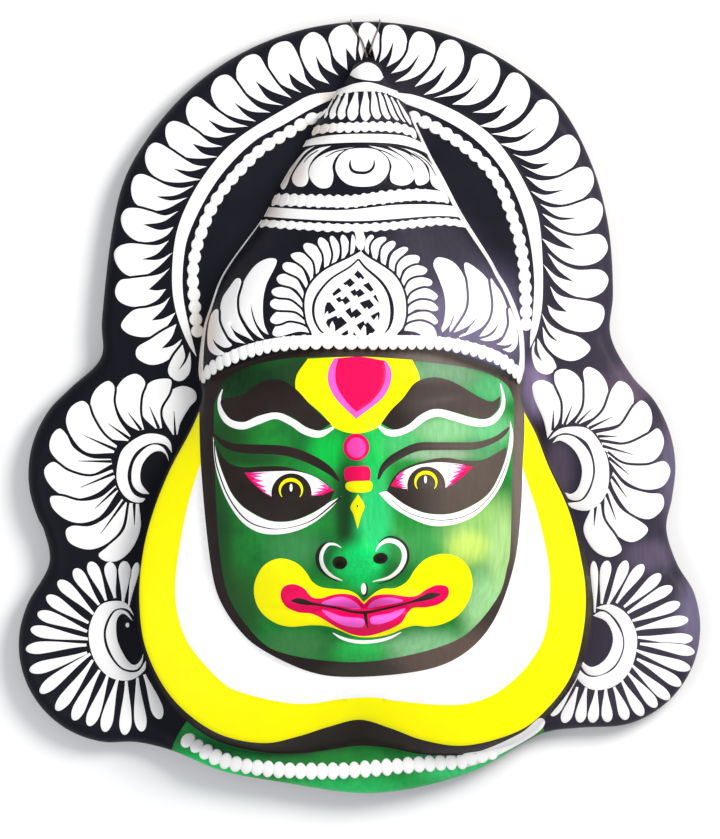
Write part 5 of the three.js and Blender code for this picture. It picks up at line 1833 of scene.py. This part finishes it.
def tube(path, radius, sides):
    way = np.gradient(path, axis=0)
    way /= np.linalg.norm(way, axis=1)[:, None]
    side = np.cross(way[0], [0.3, 0.9, 0.2])
    points, faceList = [], []
    for i, (centre, forward) in enumerate(zip(path, way)):
        side = side - forward * (side @ forward)
        side /= np.linalg.norm(side)
        other = np.cross(forward, side)
        for k in range(sides):
            a = 2 * math.pi * k / sides
            points.append(centre + (side * math.cos(a) + other * math.sin(a)) * radius)
        if i:
            first = (i - 1) * sides
            for k in range(sides):
                j = (k + 1) % sides
                faceList.append((first + k, first + j, first + sides + j, first + sides + k))
    last = (len(path) - 1) * sides
    faceList.append(tuple(range(sides - 1, -1, -1)))
    faceList.append(tuple(range(last, last + sides)))
    return np.array(points), faceList


wirePath = smoothLine(wirePoints(), False, wire["step"], 3, wire["cuts"])
wirePath, wireFaces = tube(wirePath, wire["radius"], wire["sides"])
hangingWire = meshPiece("bent_wire", wirePath, wireFaces, [wireMaterial()])
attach(hangingWire, "root")
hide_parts("hanging_wire")
print("wire made")

# Floor, light and camera.
studio = {
    "floor": 6.0,
    "cameraHeight": 10.0,
    "focusZ": 24.0,  # height over the floor at which the sheet fills the picture
    "sensor": 36.0,
    "floorColour": (0.92, 0.92, 0.92, 1),
    "airColour": (0.96, 0.97, 1.0, 1),
    "airStrength": 0.5,
}


def floorPiece():
    half = studio["floor"] / 2
    mesh = bpy.data.meshes.new("floor")
    corners = [(-half, -half, 0), (half, -half, 0), (half, half, 0), (-half, half, 0)]
    mesh.from_pydata(corners, [], [(0, 1, 2, 3)])
    floor = addObject("floor", mesh)
    material, tree, shader = newMaterial("paleFloor")
    feed(tree, shader, {"Base Color": studio["floorColour"], "Roughness": 0.9})
    mesh.materials.append(material)


def areaLight(name, place, target, size, power, colour):
    data = bpy.data.lights.new(name, "AREA")
    data.shape = "DISK"
    data.size = size
    data.energy = power
    data.color = colour
    lamp = addObject(name, data)
    lamp.location = place
    lamp.rotation_mode = "QUATERNION"
    lamp.rotation_quaternion = (Vector(target) - Vector(place)).to_track_quat("-Z", "Y")


floorPiece()
areaLight("keyLight", (0.85, 0.55, 1.25), (0.0, 0.0, 0.05), 0.7, 21, (1.0, 0.985, 0.96))
areaLight("fillLight", (-0.9, -0.5, 1.4), (0.0, 0.0, 0.05), 1.2, 8, (0.93, 0.96, 1.0))
world = bpy.data.worlds.new("studioAir")
world.use_nodes = True
air = world.node_tree.nodes["Background"].inputs
feed(world.node_tree, air, {"Color": studio["airColour"], "Strength": studio["airStrength"]})
bpy.context.scene.world = world
bpy.context.scene.view_settings.view_transform = "Standard"

cameraData = bpy.data.cameras.new("camera")
cameraData.sensor_width = studio["sensor"]
middle = toFrame([[0, (sheet["middleY"] - sheet["height"] / 2) * sheet["square"], 0]])[0]
frameHeight = sheet["height"] * sheet["square"]
cameraData.lens = studio["sensor"] * (studio["cameraHeight"] / mm - studio["focusZ"]) / frameHeight
cameraData.clip_end = 60
camera = addObject("camera", cameraData)
camera.location = (middle[0], middle[1], studio["cameraHeight"])
bpy.context.scene.camera = camera
print("studio made")
